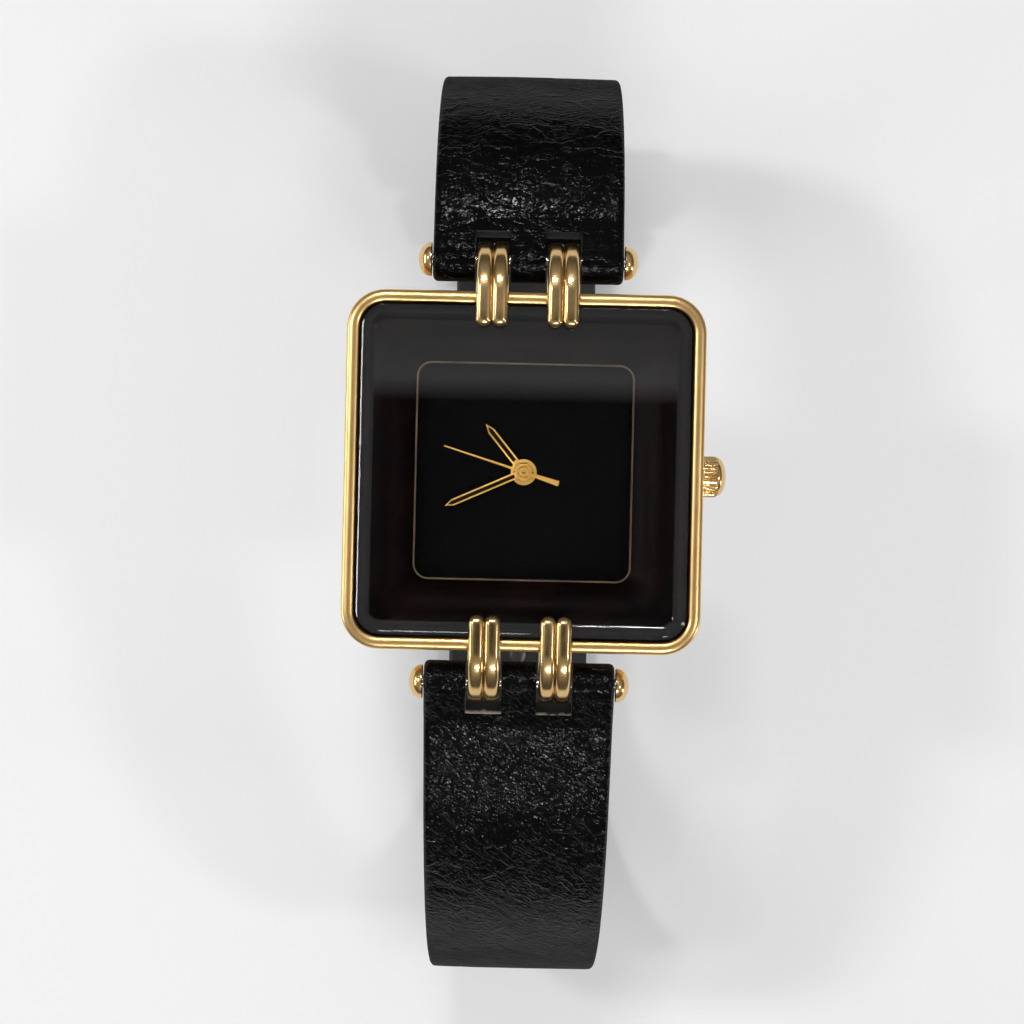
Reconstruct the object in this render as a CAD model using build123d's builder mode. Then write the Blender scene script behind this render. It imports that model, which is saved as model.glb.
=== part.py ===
from build123d import *
from math import cos, degrees, radians, sin
import os

# Square wristwatch. +X points to the crown, +Y to 12 o'clock, +Z out of the dial.
# The origin is the middle of the outer face of the case back. Millimetres.

os.makedirs("parts", exist_ok=True)

# Case
case_side = 24.6
case_corner = 2.4
case_wall = 1.6
cavity_side = case_side - 2 * case_wall
cavity_corner = 4.0
lip_width = 1.1
lip_side = cavity_side - 2 * lip_width
lip_height = 0.8
back_thickness = 0.8
back_rim_height = 0.25
back_rim_wall = 0.8
back_gasket_width = 0.5
back_gasket_height = 0.35
seat_gap = 0.05
case_screw_inset = 1.75
case_screw_place = case_side / 2 - case_screw_inset
case_screw_radius = 0.4
case_screw_head = 0.7
case_screw_head_height = 0.3
case_screw_length = 2.4

# Bezel and crystal
bezel_overhang = 0.85
bezel_side = case_side + 2 * bezel_overhang
bezel_corner = 2.8
bezel_band = 1.0
bezel_opening = bezel_side - 2 * bezel_band
bezel_skirt = 0.7
bezel_lip_height = 0.7
bezel_bevel = 0.4
flange_overlap = 0.35
flange_side = bezel_opening + 2 * flange_overlap
flange_thickness = 0.35
crystal_gap = 0.1
crystal_side = bezel_opening - 2 * crystal_gap
crystal_corner = 1.75
crystal_rise = 1.4
crystal_bevel = 0.95
crystal_bevel_height = 0.45
crystal_gasket_inset = 0.4
crystal_gasket_side = flange_side - 2 * crystal_gasket_inset
crystal_gasket_width = 1.1
crystal_gasket_height = 0.3
mask_inset = 1.25
mask_side = crystal_side - 2 * mask_inset
mask_thickness = 0.1
mask_width = 2.95
window_side = mask_side - 2 * mask_width
window_corner = 1.0
window_line_width = 0.13

# Movement levels, from the case back up
back_air = 0.2
bridge_thickness = 0.3
train_space = 1.4
floor_thickness = 0.35
motion_depth = 0.6
dial_thickness = 0.4
dial_gap = 0.1
dial_side = cavity_side - 2 * dial_gap
holder_side = cavity_side - 2 * dial_gap
holder_wall = 0.8
movement_radius = holder_side / 2 - holder_wall
movement_wall = 0.8
dial_foot_radius = 0.3
dial_foot_length = 0.5
dial_foot_x = movement_radius * 0.6735
dial_foot_y = movement_radius * 0.4694
pivot_radius = 0.08
arbor_radius = 0.1
running_gap = 0.02

# Going train: every arbor stands this far from the middle of the watch
train_reach = movement_radius * 0.22449
third_direction = 60
fifth_direction = 150
rotor_reach = movement_radius * 0.16531
rotor_direction = 100
rotor_leaves = 6
fifth_teeth = 30
fifth_leaves = 6
fourth_teeth = 36
fourth_leaves = 6
third_teeth = 45
third_leaves = 6
centre_teeth = 48
wheel_thickness = 0.14
second_arbor_radius = 0.13
centre_pipe_radius = 0.4
centre_bore_radius = 0.18

# Levels of the wheels, as shares of the space between the bridge and the main plate
fourth_level_share = 0.09
third_level_share = 0.28
fifth_level_share = 0.49
centre_level_share = 0.68
pivot_share = 0.8

# Motion work, with its levels as shares of the pocket that holds it
cannon_level_share = 0.1
hour_level_share = 0.56
cannon_leaves = 12
minute_teeth = 36
minute_leaves = 10
hour_teeth = 40
setting_teeth = 26
motion_reach = movement_radius * 0.2449
hour_pipe_radius = 0.72
hour_bore_radius = 0.45
post_radius = 0.14

# Tooth outline, in modules and in shares of one pitch
root_share = 1.2
crest_share = 0.9
root_half_share = 0.27
crest_half_share = 0.1

# Rotor, stator and coil
magnet_radius = movement_radius * 0.0663
magnet_height = 0.45
stator_hole = movement_radius * 0.0816
stator_ring = movement_radius * 0.1071
stator_thickness = 0.17
stator_strip = movement_radius * 0.0816
stator_arm = movement_radius * 0.0918
coil_left = movement_radius * -0.4847
coil_right = movement_radius * 0.0765
coil_place = movement_radius * 0.6122
coil_length = movement_radius * 0.4082
coil_depth = movement_radius * 0.1429
coil_height = 0.75
core_width = movement_radius * 0.0816
core_thickness = 0.18

# Battery, circuit and fasteners of the movement
battery_radius = movement_radius * 0.3469
battery_height = 1.65
battery_reach = movement_radius * 0.56122
battery_direction = 225
battery_cap_radius = movement_radius * 0.2755
battery_step = 0.3
clamp_width = movement_radius * 0.1633
clamp_thickness = 0.12
clamp_start = movement_radius * 0.1531
clamp_end = movement_radius * 0.8571
board_radius = movement_radius * 0.8878
board_top = movement_radius * -0.1735
board_left = movement_radius * 0.0204
board_thickness = 0.15
chip_side = movement_radius * 0.1837
chip_height = 0.45
chip_x = movement_radius * 0.3469
chip_y = movement_radius * -0.6735
can_radius = movement_radius * 0.051
can_length = movement_radius * 0.4082
can_x = movement_radius * 0.5204
can_y = movement_radius * -0.449
post_shares = [(0.3673, 0.3673), (-0.4388, 0.0306), (0.2041, -0.3061)]
post_places = [(x * movement_radius, y * movement_radius) for x, y in post_shares]
bridge_post_radius = movement_radius * 0.051
movement_screw_radius = 0.2
movement_screw_head = 0.4
movement_screw_head_height = 0.15
movement_screw_length = 0.9

# Crown, stem and setting parts
stem_drop = 0.35
stem_radius = 0.45
stem_pilot_radius = 0.25
stem_square = 0.62
stem_pilot_start = movement_radius * 0.5408
stem_square_start = movement_radius * 0.6582
stem_square_end = movement_radius * 0.801
stem_groove_width = 0.3
stem_fit = 0.05
stem_block_start = movement_radius * 0.5969
stem_block_length = 0.45
stem_block_width = 1.1
crown_radius = 1.525
crown_gap = 0.2
crown_start = case_side / 2 + crown_gap
crown_knurl_length = 1.85
crown_dome = 0.65
crown_bevel_share = 0.6
crown_ridges = 28
crown_ridge_depth = 0.13
crown_socket_radius = 1.0
crown_socket_depth = 1.0
tube_radius = 0.8
tube_bore = 0.5
tube_length = 2.3
crown_gasket_width = 0.15
crown_gasket_length = 0.35
clutch_radius = 0.92
clutch_neck_radius = 0.6
clutch_back_radius = 0.8
clutch_start = movement_radius * 0.7296
clutch_ring = 0.2
clutch_tooth_depth = 0.15
clutch_teeth = 12
clutch_pull = 0.35
lever_pin_length = 1.9
lever_offset = 0.3
lever_boss = 0.3
lever_width = 0.3
lever_thickness = 0.2
yoke_finger = 0.14
yoke_plate_width = 1.4
yoke_plate_length = 1.5
yoke_plate_place = 1.9
yoke_thickness = 0.2

# Hands
hour_direction = 320.5
minute_direction = 245.7
second_direction = 287.1
hour_length = window_side * 0.2866
hour_width = 0.53
hour_hub = 0.95
minute_length = window_side * 0.4013
minute_width = 0.5
minute_hub = 0.62
second_length = window_side * 0.3917
second_tail = window_side * 0.172
second_width = 0.2
second_hub = 0.365
hand_thickness = 0.12
hand_space = 0.16
hand_rim = 0.12
point_share = 1.3
hub_rise = 0.1

# Hoops that join the case to the strap bars
bar_offset = 3.25
bar_reach = case_side / 2 + bar_offset
bar_height = 4.0
bar_radius = 0.5
bar_fit = 0.03
hoop_place = 2.6
rib_width = 1.2
rib_overlap = 0.05
rib_height = 0.8
rib_bevel = 0.24
hoop_overlap = 1.2
hoop_near = case_side / 2 - hoop_overlap
hoop_lift = 0.05
hoop_bend = 1.0
hoop_far = bar_reach + hoop_bend
eye_radius = 1.2
eye_width = 1.9
lug_screw_radius = 0.3
lug_screw_head = 0.6
lug_screw_head_height = 0.4
lug_screw_length = 2.4
cap_radius = 1.25
cap_height = 1.0
cap_gap = 0.1
cap_rim_share = 0.35
cap_crown_share = 0.55

# Strap, curled under the head
strap_width = 14.0
strap_end_width = 12.0
strap_thickness = 1.8
barrel_radius = 1.6
wedge_length = 3.1
slot_reach = 2.35
slot_gap = 0.15
upper_slope = 8
upper_straight = 3.2
upper_shoulder = 13.0
upper_side = 12.125
upper_bottom = 20.0
upper_flat = 1.11
lower_slope = 22
lower_straight = 8.97
lower_shoulder = 24.4
tip_gap = 2.816
hole_radius = 0.8
hole_count = 6
hole_first = 9.0
hole_pitch = 5.5

# Buckle and keepers
buckle_bar_radius = 0.4
buckle_side_gap = 0.2
buckle_arm = 1.2
buckle_length = 7.0
buckle_rim = 1.4
buckle_end_height = 1.5
buckle_fit = 0.03
tongue_width = 0.9
tongue_thickness = 0.55
tongue_ring = 0.8
tongue_gap = 0.12
tongue_slot = 1.3
tongue_slot_length = 2.6
keeper_gap = 0.08
keeper_wall = 0.9
keeper_room = 2.0
keeper_length_angle = 11.5
fixed_keeper_angle = 31
free_keeper_angle = 48
free_keeper_travel = 12

# How far every cut runs past what it cuts
overrun = 0.5

# Heights that follow from the sizes above
back_top = back_thickness
holder_bottom = back_top + back_rim_height
movement_bottom = back_top + back_air
bridge_top = movement_bottom + bridge_thickness
train_top = bridge_top + train_space
motion_floor = train_top + floor_thickness
plate_top = motion_floor + motion_depth
dial_top = plate_top + dial_thickness
case_top = dial_top + lip_height
crystal_bottom = case_top + crystal_gasket_height
flange_top = crystal_bottom + flange_thickness
crystal_top = flange_top + crystal_rise
bezel_top = flange_top + bezel_lip_height
bezel_bottom = case_top - bezel_skirt
stem_height = train_top - stem_drop
hour_hand_bottom = dial_top + hand_space
minute_hand_bottom = hour_hand_bottom + hand_thickness + hand_space
second_hand_bottom = minute_hand_bottom + hand_thickness + hand_space

fourth_level = bridge_top + train_space * fourth_level_share
third_level = bridge_top + train_space * third_level_share
fifth_level = bridge_top + train_space * fifth_level_share
centre_level = bridge_top + train_space * centre_level_share
cannon_level = motion_floor + motion_depth * cannon_level_share
hour_level = motion_floor + motion_depth * hour_level_share

# Modules that put each meshing pair at its centre distance
rotor_module = 2 * rotor_reach / (rotor_leaves + fifth_teeth)
fifth_module = 2 * train_reach / (fifth_leaves + fourth_teeth)
fourth_module = 2 * train_reach / (fourth_leaves + third_teeth)
third_module = 2 * train_reach / (third_leaves + centre_teeth)
cannon_module = 2 * motion_reach / (cannon_leaves + minute_teeth)
hour_module = 2 * motion_reach / (minute_leaves + hour_teeth)


def polar(radius, degrees, origin=(0, 0)):
    # A point at this distance and direction from the origin
    return (origin[0] + radius * cos(radians(degrees)), origin[1] + radius * sin(radians(degrees)))


centre = (0, 0)
third_place = polar(train_reach, third_direction)
fifth_place = polar(train_reach, fifth_direction)
rotor_place = polar(rotor_reach, rotor_direction, fifth_place)
minute_place = (motion_reach, 0)
setting_reach = cannon_module * (minute_teeth + setting_teeth) / 2
setting_place = (motion_reach + setting_reach, 0)
battery_place = polar(battery_reach, battery_direction)


def finish(piece, name):
    # Name the piece and write its file
    piece.part.label = name
    export_step(piece.part, f"parts/{name}.step")


def tooth_points(teeth, module, place, phase):
    # Straight-sided teeth round a place; the middle of one tooth points in the phase direction
    pitch_radius = teeth * module / 2
    root = pitch_radius - root_share * module
    crest = pitch_radius + crest_share * module
    corners = [(root, -root_half_share), (crest, -crest_half_share)]
    corners += [(crest, crest_half_share), (root, root_half_share)]
    pitch = 360 / teeth
    return [
        polar(radius, phase + (index + half_share) * pitch, place)
        for index in range(teeth)
        for radius, half_share in corners
    ]


def add_gear(teeth, module, place, phase, level, thickness):
    # One toothed disc of the part being built
    with BuildSketch(Plane.XY.offset(level)) as profile:
        with BuildLine():
            Polyline(*tooth_points(teeth, module, place, phase), close=True)
        make_face()
    extrude(profile.sketch, amount=thickness)


def add_disc(radius, place, bottom, top, mode=Mode.ADD):
    # One round length of the part being built, standing on a place
    with BuildSketch(Plane.XY.offset(bottom)) as profile:
        with Locations(place):
            Circle(radius)
    extrude(profile.sketch, amount=top - bottom, mode=mode)


def add_rod(radius, start, end, mode=Mode.ADD):
    # One round length along the axis of the stem
    with BuildSketch(Plane.YZ.offset(start)) as profile:
        with Locations((0, stem_height)):
            Circle(radius)
    extrude(profile.sketch, amount=end - start, mode=mode)


def add_square_block(side, corner, bottom, top, mode=Mode.ADD):
    # One square length with round corners, about the middle of the watch
    with BuildSketch(Plane.XY.offset(bottom)) as profile:
        RectangleRounded(side, side, corner)
    extrude(profile.sketch, amount=top - bottom, mode=mode)


# Case middle: a square wall, open below, with a lip that holds the dial down from above
cavity_inset = (case_side - cavity_side) / 2
gasket_side = cavity_side + cavity_inset
gasket_corner = cavity_corner + cavity_inset / 2
corners = [(x * case_screw_place, y * case_screw_place) for x in (1, -1) for y in (1, -1)]
with BuildPart() as case_middle:
    add_square_block(case_side, case_corner, back_top, case_top)
    add_square_block(cavity_side, cavity_corner, back_top - overrun, dial_top, Mode.SUBTRACT)
    add_square_block(lip_side, cavity_corner, dial_top - overrun, case_top + overrun, Mode.SUBTRACT)
    with BuildSketch(Plane.XY.offset(back_top)):
        RectangleRounded(gasket_side, gasket_side, gasket_corner)
        gasket_inside = gasket_side - 2 * back_gasket_width
        RectangleRounded(gasket_inside, gasket_inside, gasket_corner - back_gasket_width, mode=Mode.SUBTRACT)
    extrude(amount=back_gasket_height, mode=Mode.SUBTRACT)
    for corner in corners:
        add_disc(case_screw_radius, corner, back_top - overrun, back_top + case_screw_length, Mode.SUBTRACT)
    add_rod(tube_radius, cavity_side / 2 - overrun, case_side / 2 + overrun, Mode.SUBTRACT)
    leg_height = bar_height - (hoop_far - bar_reach)
    with BuildSketch(Plane.XZ.offset(-case_side)):
        with Locations((hoop_place, leg_height), (-hoop_place, leg_height)):
            Circle(lug_screw_radius)
    extrude(amount=2 * case_side, mode=Mode.SUBTRACT)
    for side in (1, -1):
        with BuildSketch(Plane.XZ.offset(-side * cavity_side / 2)):
            with Locations((hoop_place, leg_height), (-hoop_place, leg_height)):
                Circle(lug_screw_head)
        extrude(amount=-side * lug_screw_head_height, mode=Mode.SUBTRACT)
finish(case_middle, "case_middle")

# Case back: a flat cover with a low rim that carries the movement holder
with BuildPart() as case_back:
    add_square_block(case_side, case_corner, 0, back_top)
    chamfer(case_back.faces().sort_by(Axis.Z)[0].edges(), back_thickness / 4)
    rim_side = cavity_side - 2 * seat_gap
    with BuildSketch(Plane.XY.offset(back_top)):
        RectangleRounded(rim_side, rim_side, cavity_corner)
        rim_inside = rim_side - 2 * back_rim_wall
        RectangleRounded(rim_inside, rim_inside, cavity_corner - back_rim_wall, mode=Mode.SUBTRACT)
    extrude(amount=back_rim_height)
    for corner in corners:
        add_disc(case_screw_radius, corner, -overrun, back_top + overrun, Mode.SUBTRACT)
        add_disc(case_screw_head, corner, -overrun, case_screw_head_height, Mode.SUBTRACT)
finish(case_back, "case_back")

# Gasket in the groove under the case wall
with BuildPart() as back_gasket:
    with BuildSketch(Plane.XY.offset(back_top)):
        RectangleRounded(gasket_side, gasket_side, gasket_corner)
        gasket_inside = gasket_side - 2 * back_gasket_width
        RectangleRounded(gasket_inside, gasket_inside, gasket_corner - back_gasket_width, mode=Mode.SUBTRACT)
    extrude(amount=back_gasket_height)
finish(back_gasket, "back_gasket")

# Four screws from the back into the corners of the case
with BuildPart() as case_screws:
    for corner in corners:
        add_disc(case_screw_head, corner, 0, case_screw_head_height)
        add_disc(case_screw_radius, corner, case_screw_head_height, back_top + case_screw_length)
    for corner in corners:
        with BuildSketch(Plane.XY):
            with Locations(corner):
                Rectangle(2 * case_screw_head, case_screw_radius / 2)
        extrude(amount=case_screw_head_height / 2, mode=Mode.SUBTRACT)
finish(case_screws, "case_screws")

# Bezel: pressed on the case wall, with a bevelled band that holds the crystal down
with BuildPart() as bezel:
    add_square_block(bezel_side, bezel_corner, bezel_bottom, bezel_top)
    band = bezel.faces().sort_by(Axis.Z)[-1].edges()
    chamfer(band, bezel_bevel)
    opening_corner = bezel_corner - (bezel_side - bezel_opening) / 2
    flange_room = flange_side + 2 * seat_gap
    flange_corner = bezel_corner - (bezel_side - flange_room) / 2
    add_square_block(case_side, case_corner, bezel_bottom - overrun, case_top, Mode.SUBTRACT)
    add_square_block(flange_room, flange_corner, case_top, flange_top, Mode.SUBTRACT)
    add_square_block(bezel_opening, opening_corner, flange_top, bezel_top + overrun, Mode.SUBTRACT)
    inner_edges = bezel.faces().sort_by(Axis.Z)[-1].inner_wires()[0].edges()
    chamfer(inner_edges, bezel_bevel)
finish(bezel, "bezel")

# Crystal: a raised block with a bevelled edge, on a thin flange under the bezel
with BuildPart() as crystal:
    add_square_block(flange_side, flange_corner - seat_gap, crystal_bottom, flange_top)
    add_square_block(crystal_side, crystal_corner, flange_top, crystal_top - crystal_bevel_height)
    with BuildSketch(Plane.XY.offset(crystal_top - crystal_bevel_height)):
        RectangleRounded(crystal_side, crystal_side, crystal_corner)
    with BuildSketch(Plane.XY.offset(crystal_top)):
        flat_side = crystal_side - 2 * crystal_bevel
        RectangleRounded(flat_side, flat_side, crystal_corner - crystal_bevel / 2)
    loft()
finish(crystal, "crystal")

# Gasket between the case wall and the crystal flange
with BuildPart() as crystal_gasket:
    gasket_inside = crystal_gasket_side - 2 * crystal_gasket_width
    add_square_block(crystal_gasket_side, crystal_corner, case_top, crystal_bottom)
    add_square_block(gasket_inside, crystal_corner / 2, case_top, crystal_bottom, Mode.SUBTRACT)
finish(crystal_gasket, "crystal_gasket")

# Black print under the crystal, open at the window
line_side = window_side + 2 * window_line_width
line_corner = window_corner + window_line_width
mask_bottom = crystal_bottom - mask_thickness
with BuildPart() as crystal_mask:
    add_square_block(mask_side, crystal_corner, mask_bottom, crystal_bottom)
    add_square_block(line_side, line_corner, mask_bottom, crystal_bottom, Mode.SUBTRACT)
finish(crystal_mask, "crystal_mask")

# Gilt line round the window
with BuildPart() as window_line:
    add_square_block(line_side, line_corner, mask_bottom, crystal_bottom)
    add_square_block(window_side, window_corner, mask_bottom, crystal_bottom, Mode.SUBTRACT)
finish(window_line, "window_line")


# Double-ribbed hoop: over the crystal and the bezel, round the strap bar and back to the case wall
arm_height = crystal_top + hoop_lift + rib_height / 2
eye_bend = hoop_far - bar_reach
big_bend = arm_height - bar_height
rib_place = (rib_width - rib_overlap) / 2


def rib_outline():
    # Section of one rib, bevelled at its four corners
    across, along = rib_width / 2, rib_height / 2
    quarter = [(across, along - rib_bevel), (across - rib_bevel, along)]
    upper = quarter + [(-x, y) for x, y in reversed(quarter)]
    return upper + [(-x, -y) for x, y in upper]


def make_hoop(side, across, name):
    with BuildPart() as hoop:
        with BuildLine(Plane.YZ.offset(across)) as spine:
            bend_place = side * (hoop_far - big_bend)
            Line((side * hoop_near, arm_height), (bend_place, arm_height))
            CenterArc((bend_place, bar_height), big_bend, 90, -side * 90)
            CenterArc((side * bar_reach, bar_height), eye_bend, 90 - side * 90, -side * 90)
            Line((side * bar_reach, bar_height - eye_bend), (side * case_side / 2, bar_height - eye_bend))
        near_end = (across, side * hoop_near, arm_height)
        with BuildSketch(Plane(origin=near_end, x_dir=(1, 0, 0), z_dir=(0, side, 0))):
            with Locations((-rib_place, 0), (rib_place, 0)):
                Polygon(*rib_outline())
        sweep(path=spine.wires()[0])
        for offset in (-rib_place, rib_place):
            rib_end = (across + offset, side * hoop_near, arm_height)
            with BuildSketch(Plane(origin=rib_end, x_dir=(1, 0, 0), z_dir=(0, side, 0))):
                Polygon(*rib_outline())
                Rectangle(rib_width, 2 * rib_height, align=(Align.MIN, Align.CENTER), mode=Mode.INTERSECT)
            revolve(axis=Axis(rib_end, (0, 0, 1)), revolution_arc=360)
        with BuildSketch(Plane.YZ.offset(across - eye_width / 2)):
            with Locations((side * bar_reach, bar_height)):
                Circle(eye_radius)
        extrude(amount=eye_width)
        with BuildSketch(Plane.YZ.offset(across - rib_width - overrun)):
            with Locations((side * bar_reach, bar_height)):
                Circle(bar_radius + bar_fit)
        extrude(amount=2 * (rib_width + overrun), mode=Mode.SUBTRACT)
        screw_end = lug_screw_length - cavity_inset + lug_screw_head_height
        with BuildSketch(Plane.XZ.offset(-side * case_side / 2)):
            with Locations((across, bar_height - eye_bend)):
                Circle(lug_screw_radius)
        extrude(amount=-side * screw_end, mode=Mode.SUBTRACT)
    finish(hoop, name)


for side, row in ((1, "upper"), (-1, "lower")):
    for across, column in ((-hoop_place, "left"), (hoop_place, "right")):
        make_hoop(side, across, f"lug_{row}_{column}")

# Screws that hold the hoops, from inside the case wall
with BuildPart() as lug_screws:
    for side in (1, -1):
        for across in (-hoop_place, hoop_place):
            with BuildSketch(Plane.XZ.offset(-side * cavity_side / 2)):
                with Locations((across, bar_height - eye_bend)):
                    Circle(lug_screw_head)
            extrude(amount=-side * lug_screw_head_height)
            with BuildSketch(Plane.XZ.offset(-side * (cavity_side / 2 + lug_screw_head_height))):
                with Locations((across, bar_height - eye_bend)):
                    Circle(lug_screw_radius)
            extrude(amount=-side * lug_screw_length)
finish(lug_screws, "lug_screws")

# Strap bars and the domes on their ends
cap_start = strap_width / 2 + cap_gap
for side, row in ((1, "upper"), (-1, "lower")):
    with BuildPart() as strap_bar:
        with BuildSketch(Plane.YZ.offset(-cap_start - cap_height / 2)):
            with Locations((side * bar_reach, bar_height)):
                Circle(bar_radius)
        extrude(amount=2 * cap_start + cap_height)
    finish(strap_bar, f"{row}_bar")

    with BuildPart() as bar_caps:
        for end in (1, -1):
            place = (end * cap_start, side * bar_reach, bar_height)
            with BuildSketch(Plane(origin=place, x_dir=(0, 1, 0), z_dir=(0, 0, -end))):
                with BuildLine():
                    rim = (cap_radius, cap_height * cap_rim_share)
                    crown_rim = (cap_radius * cap_crown_share, cap_height)
                    Polyline((0, 0), (cap_radius, 0), rim, crown_rim, (0, cap_height), close=True)
                make_face()
            revolve(axis=Axis(place, (1, 0, 0)), revolution_arc=360)
        with BuildSketch(Plane.YZ.offset(-cap_start - cap_height / 2)):
            with Locations((side * bar_reach, bar_height)):
                Circle(bar_radius)
        extrude(amount=2 * cap_start + cap_height, mode=Mode.SUBTRACT)
    finish(bar_caps, f"{row}_bar_caps")

# Dial on the movement, with two feet
dial_feet = [(-dial_foot_x, dial_foot_y), (dial_foot_x, -dial_foot_y)]
with BuildPart() as dial:
    add_square_block(dial_side, cavity_corner, plate_top, dial_top)
    add_disc(hour_pipe_radius + 2 * seat_gap, centre, plate_top, dial_top, Mode.SUBTRACT)
    for foot in dial_feet:
        add_disc(dial_foot_radius, foot, plate_top - dial_foot_length, plate_top)
finish(dial, "dial")

# Ring that centres the round movement in the square case
with BuildPart() as movement_holder:
    add_square_block(holder_side, cavity_corner, holder_bottom, plate_top)
    add_disc(movement_radius + running_gap, centre, holder_bottom, plate_top, Mode.SUBTRACT)
    add_rod(stem_radius + 2 * stem_fit, movement_radius - overrun, holder_side, Mode.SUBTRACT)
finish(movement_holder, "movement_holder")

# Main plate: a cup that opens towards the back, with pockets for the motion work on top
stator_bottom = bridge_top + stator_thickness
stator_top = stator_bottom + stator_thickness
core_top = stator_top + core_thickness
coil_posts = [(coil_left, coil_place), (coil_right, coil_place)]
setting_crest = cannon_module * (setting_teeth / 2 + crest_share)
clutch_end = clutch_start + 3 * clutch_ring
lever_pin_place = stem_square_end + stem_groove_width / 2 + stem_fit
lever_pivot = (lever_pin_place + lever_offset, -lever_pin_length - stem_pilot_radius)
with BuildPart() as main_plate:
    add_disc(movement_radius, centre, movement_bottom, plate_top)
    add_disc(movement_radius - movement_wall, centre, movement_bottom - overrun, train_top, Mode.SUBTRACT)
    for post in post_places:
        add_disc(bridge_post_radius, post, bridge_top, train_top)
    for post in coil_posts:
        add_disc(core_width / 2, post, core_top, train_top)
    with BuildSketch(Plane.XY.offset(stem_height - stem_block_width / 2)):
        with Locations((stem_block_start, 0)):
            Rectangle(stem_block_length, stem_block_width, align=(Align.MIN, Align.CENTER))
    extrude(amount=train_top - stem_height + stem_block_width / 2)
    add_disc(post_radius, lever_pivot, stem_height - lever_thickness, train_top)
    hour_crest = hour_module * (hour_teeth / 2 + crest_share)
    minute_crest = cannon_module * (minute_teeth / 2 + crest_share)
    add_disc(hour_crest + running_gap * 2, centre, motion_floor, plate_top, Mode.SUBTRACT)
    add_disc(minute_crest + running_gap * 2, minute_place, motion_floor, plate_top, Mode.SUBTRACT)
    add_disc(setting_crest + running_gap * 2, setting_place, motion_floor, plate_top, Mode.SUBTRACT)
    add_disc(post_radius, minute_place, motion_floor, plate_top)
    add_disc(post_radius, setting_place, motion_floor, plate_top)
    add_disc(centre_pipe_radius + running_gap, centre, train_top - overrun, plate_top, Mode.SUBTRACT)
    for place in (third_place, fifth_place, rotor_place):
        add_disc(pivot_radius + running_gap, place, train_top, motion_floor, Mode.SUBTRACT)
    with BuildSketch(Plane.XY.offset(train_top - overrun)):
        clutch_room_start = clutch_start - clutch_pull - stem_fit
        with Locations((clutch_room_start, 0)):
            clutch_room = clutch_end + stem_fit - clutch_room_start
            Rectangle(clutch_room, 2 * (clutch_radius + stem_fit), align=(Align.MIN, Align.CENTER))
    extrude(amount=overrun + stem_height + clutch_radius + stem_fit - train_top, mode=Mode.SUBTRACT)
    add_rod(stem_radius + stem_fit, clutch_end - overrun, movement_radius + overrun, Mode.SUBTRACT)
    add_rod(stem_pilot_radius + running_gap, stem_block_start - overrun, clutch_end, Mode.SUBTRACT)
    for foot in dial_feet:
        foot_bottom = plate_top - dial_foot_length
        add_disc(dial_foot_radius + running_gap, foot, foot_bottom, plate_top, Mode.SUBTRACT)
    for post in post_places:
        screw_top = movement_bottom + movement_screw_head_height + movement_screw_length
        add_disc(movement_screw_radius, post, bridge_top - overrun, screw_top, Mode.SUBTRACT)
    for post in coil_posts:
        add_disc(movement_screw_radius, post, core_top, stator_bottom + movement_screw_length, Mode.SUBTRACT)
finish(main_plate, "main_plate")

# Train bridge: carries the lower pivots and stands on three posts
with BuildPart() as train_bridge:
    with BuildSketch(Plane.XY.offset(movement_bottom)):
        with BuildLine():
            for place in post_places + [rotor_place]:
                CenterArc(place, bridge_post_radius + 2 * pivot_radius, 0, 360)
        make_hull()
        with Locations(battery_place):
            Circle(battery_radius + seat_gap, mode=Mode.SUBTRACT)
    extrude(amount=bridge_thickness)
    for place in (centre, third_place, fifth_place, rotor_place):
        add_disc(pivot_radius + running_gap, place, movement_bottom, bridge_top, Mode.SUBTRACT)
    for post in post_places:
        head_top = movement_bottom + movement_screw_head_height
        add_disc(movement_screw_head, post, movement_bottom, head_top, Mode.SUBTRACT)
        add_disc(movement_screw_radius, post, head_top, bridge_top, Mode.SUBTRACT)
finish(train_bridge, "train_bridge")

# Screws of the bridge and of the coil
with BuildPart() as movement_screws:
    for post, bottom in [(post, movement_bottom) for post in post_places] + [
        (post, stator_bottom - movement_screw_head_height) for post in coil_posts
    ]:
        shank_bottom = bottom + movement_screw_head_height
        add_disc(movement_screw_head, post, bottom, shank_bottom)
        add_disc(movement_screw_radius, post, shank_bottom, shank_bottom + movement_screw_length)
finish(movement_screws, "movement_screws")

# Stator: a strip with the rotor hole and two arms out to the coil core
with BuildPart() as stator:
    with BuildSketch(Plane.XY.offset(stator_bottom)):
        with Locations(((coil_left + coil_right) / 2, rotor_place[1])):
            Rectangle(coil_right - coil_left + stator_arm, stator_strip)
        with Locations(rotor_place):
            Circle(stator_ring)
        arm_length = coil_place + core_width / 2 - rotor_place[1]
        with Locations((coil_left, rotor_place[1]), (coil_right, rotor_place[1])):
            Rectangle(stator_arm, arm_length, align=(Align.CENTER, Align.MIN))
        with Locations(rotor_place):
            Circle(stator_hole, mode=Mode.SUBTRACT)
        with Locations(*coil_posts):
            Circle(movement_screw_radius, mode=Mode.SUBTRACT)
    extrude(amount=stator_thickness)
finish(stator, "stator")

# Coil core lies on the stator arms, and the winding round it
coil_middle = ((coil_left + coil_right) / 2, coil_place)
with BuildPart() as coil_core:
    with BuildSketch(Plane.XY.offset(stator_top)):
        with Locations(coil_middle):
            Rectangle(coil_right - coil_left + stator_arm, core_width)
        with Locations(*coil_posts):
            Circle(movement_screw_radius, mode=Mode.SUBTRACT)
    extrude(amount=core_thickness)
finish(coil_core, "coil_core")

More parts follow.
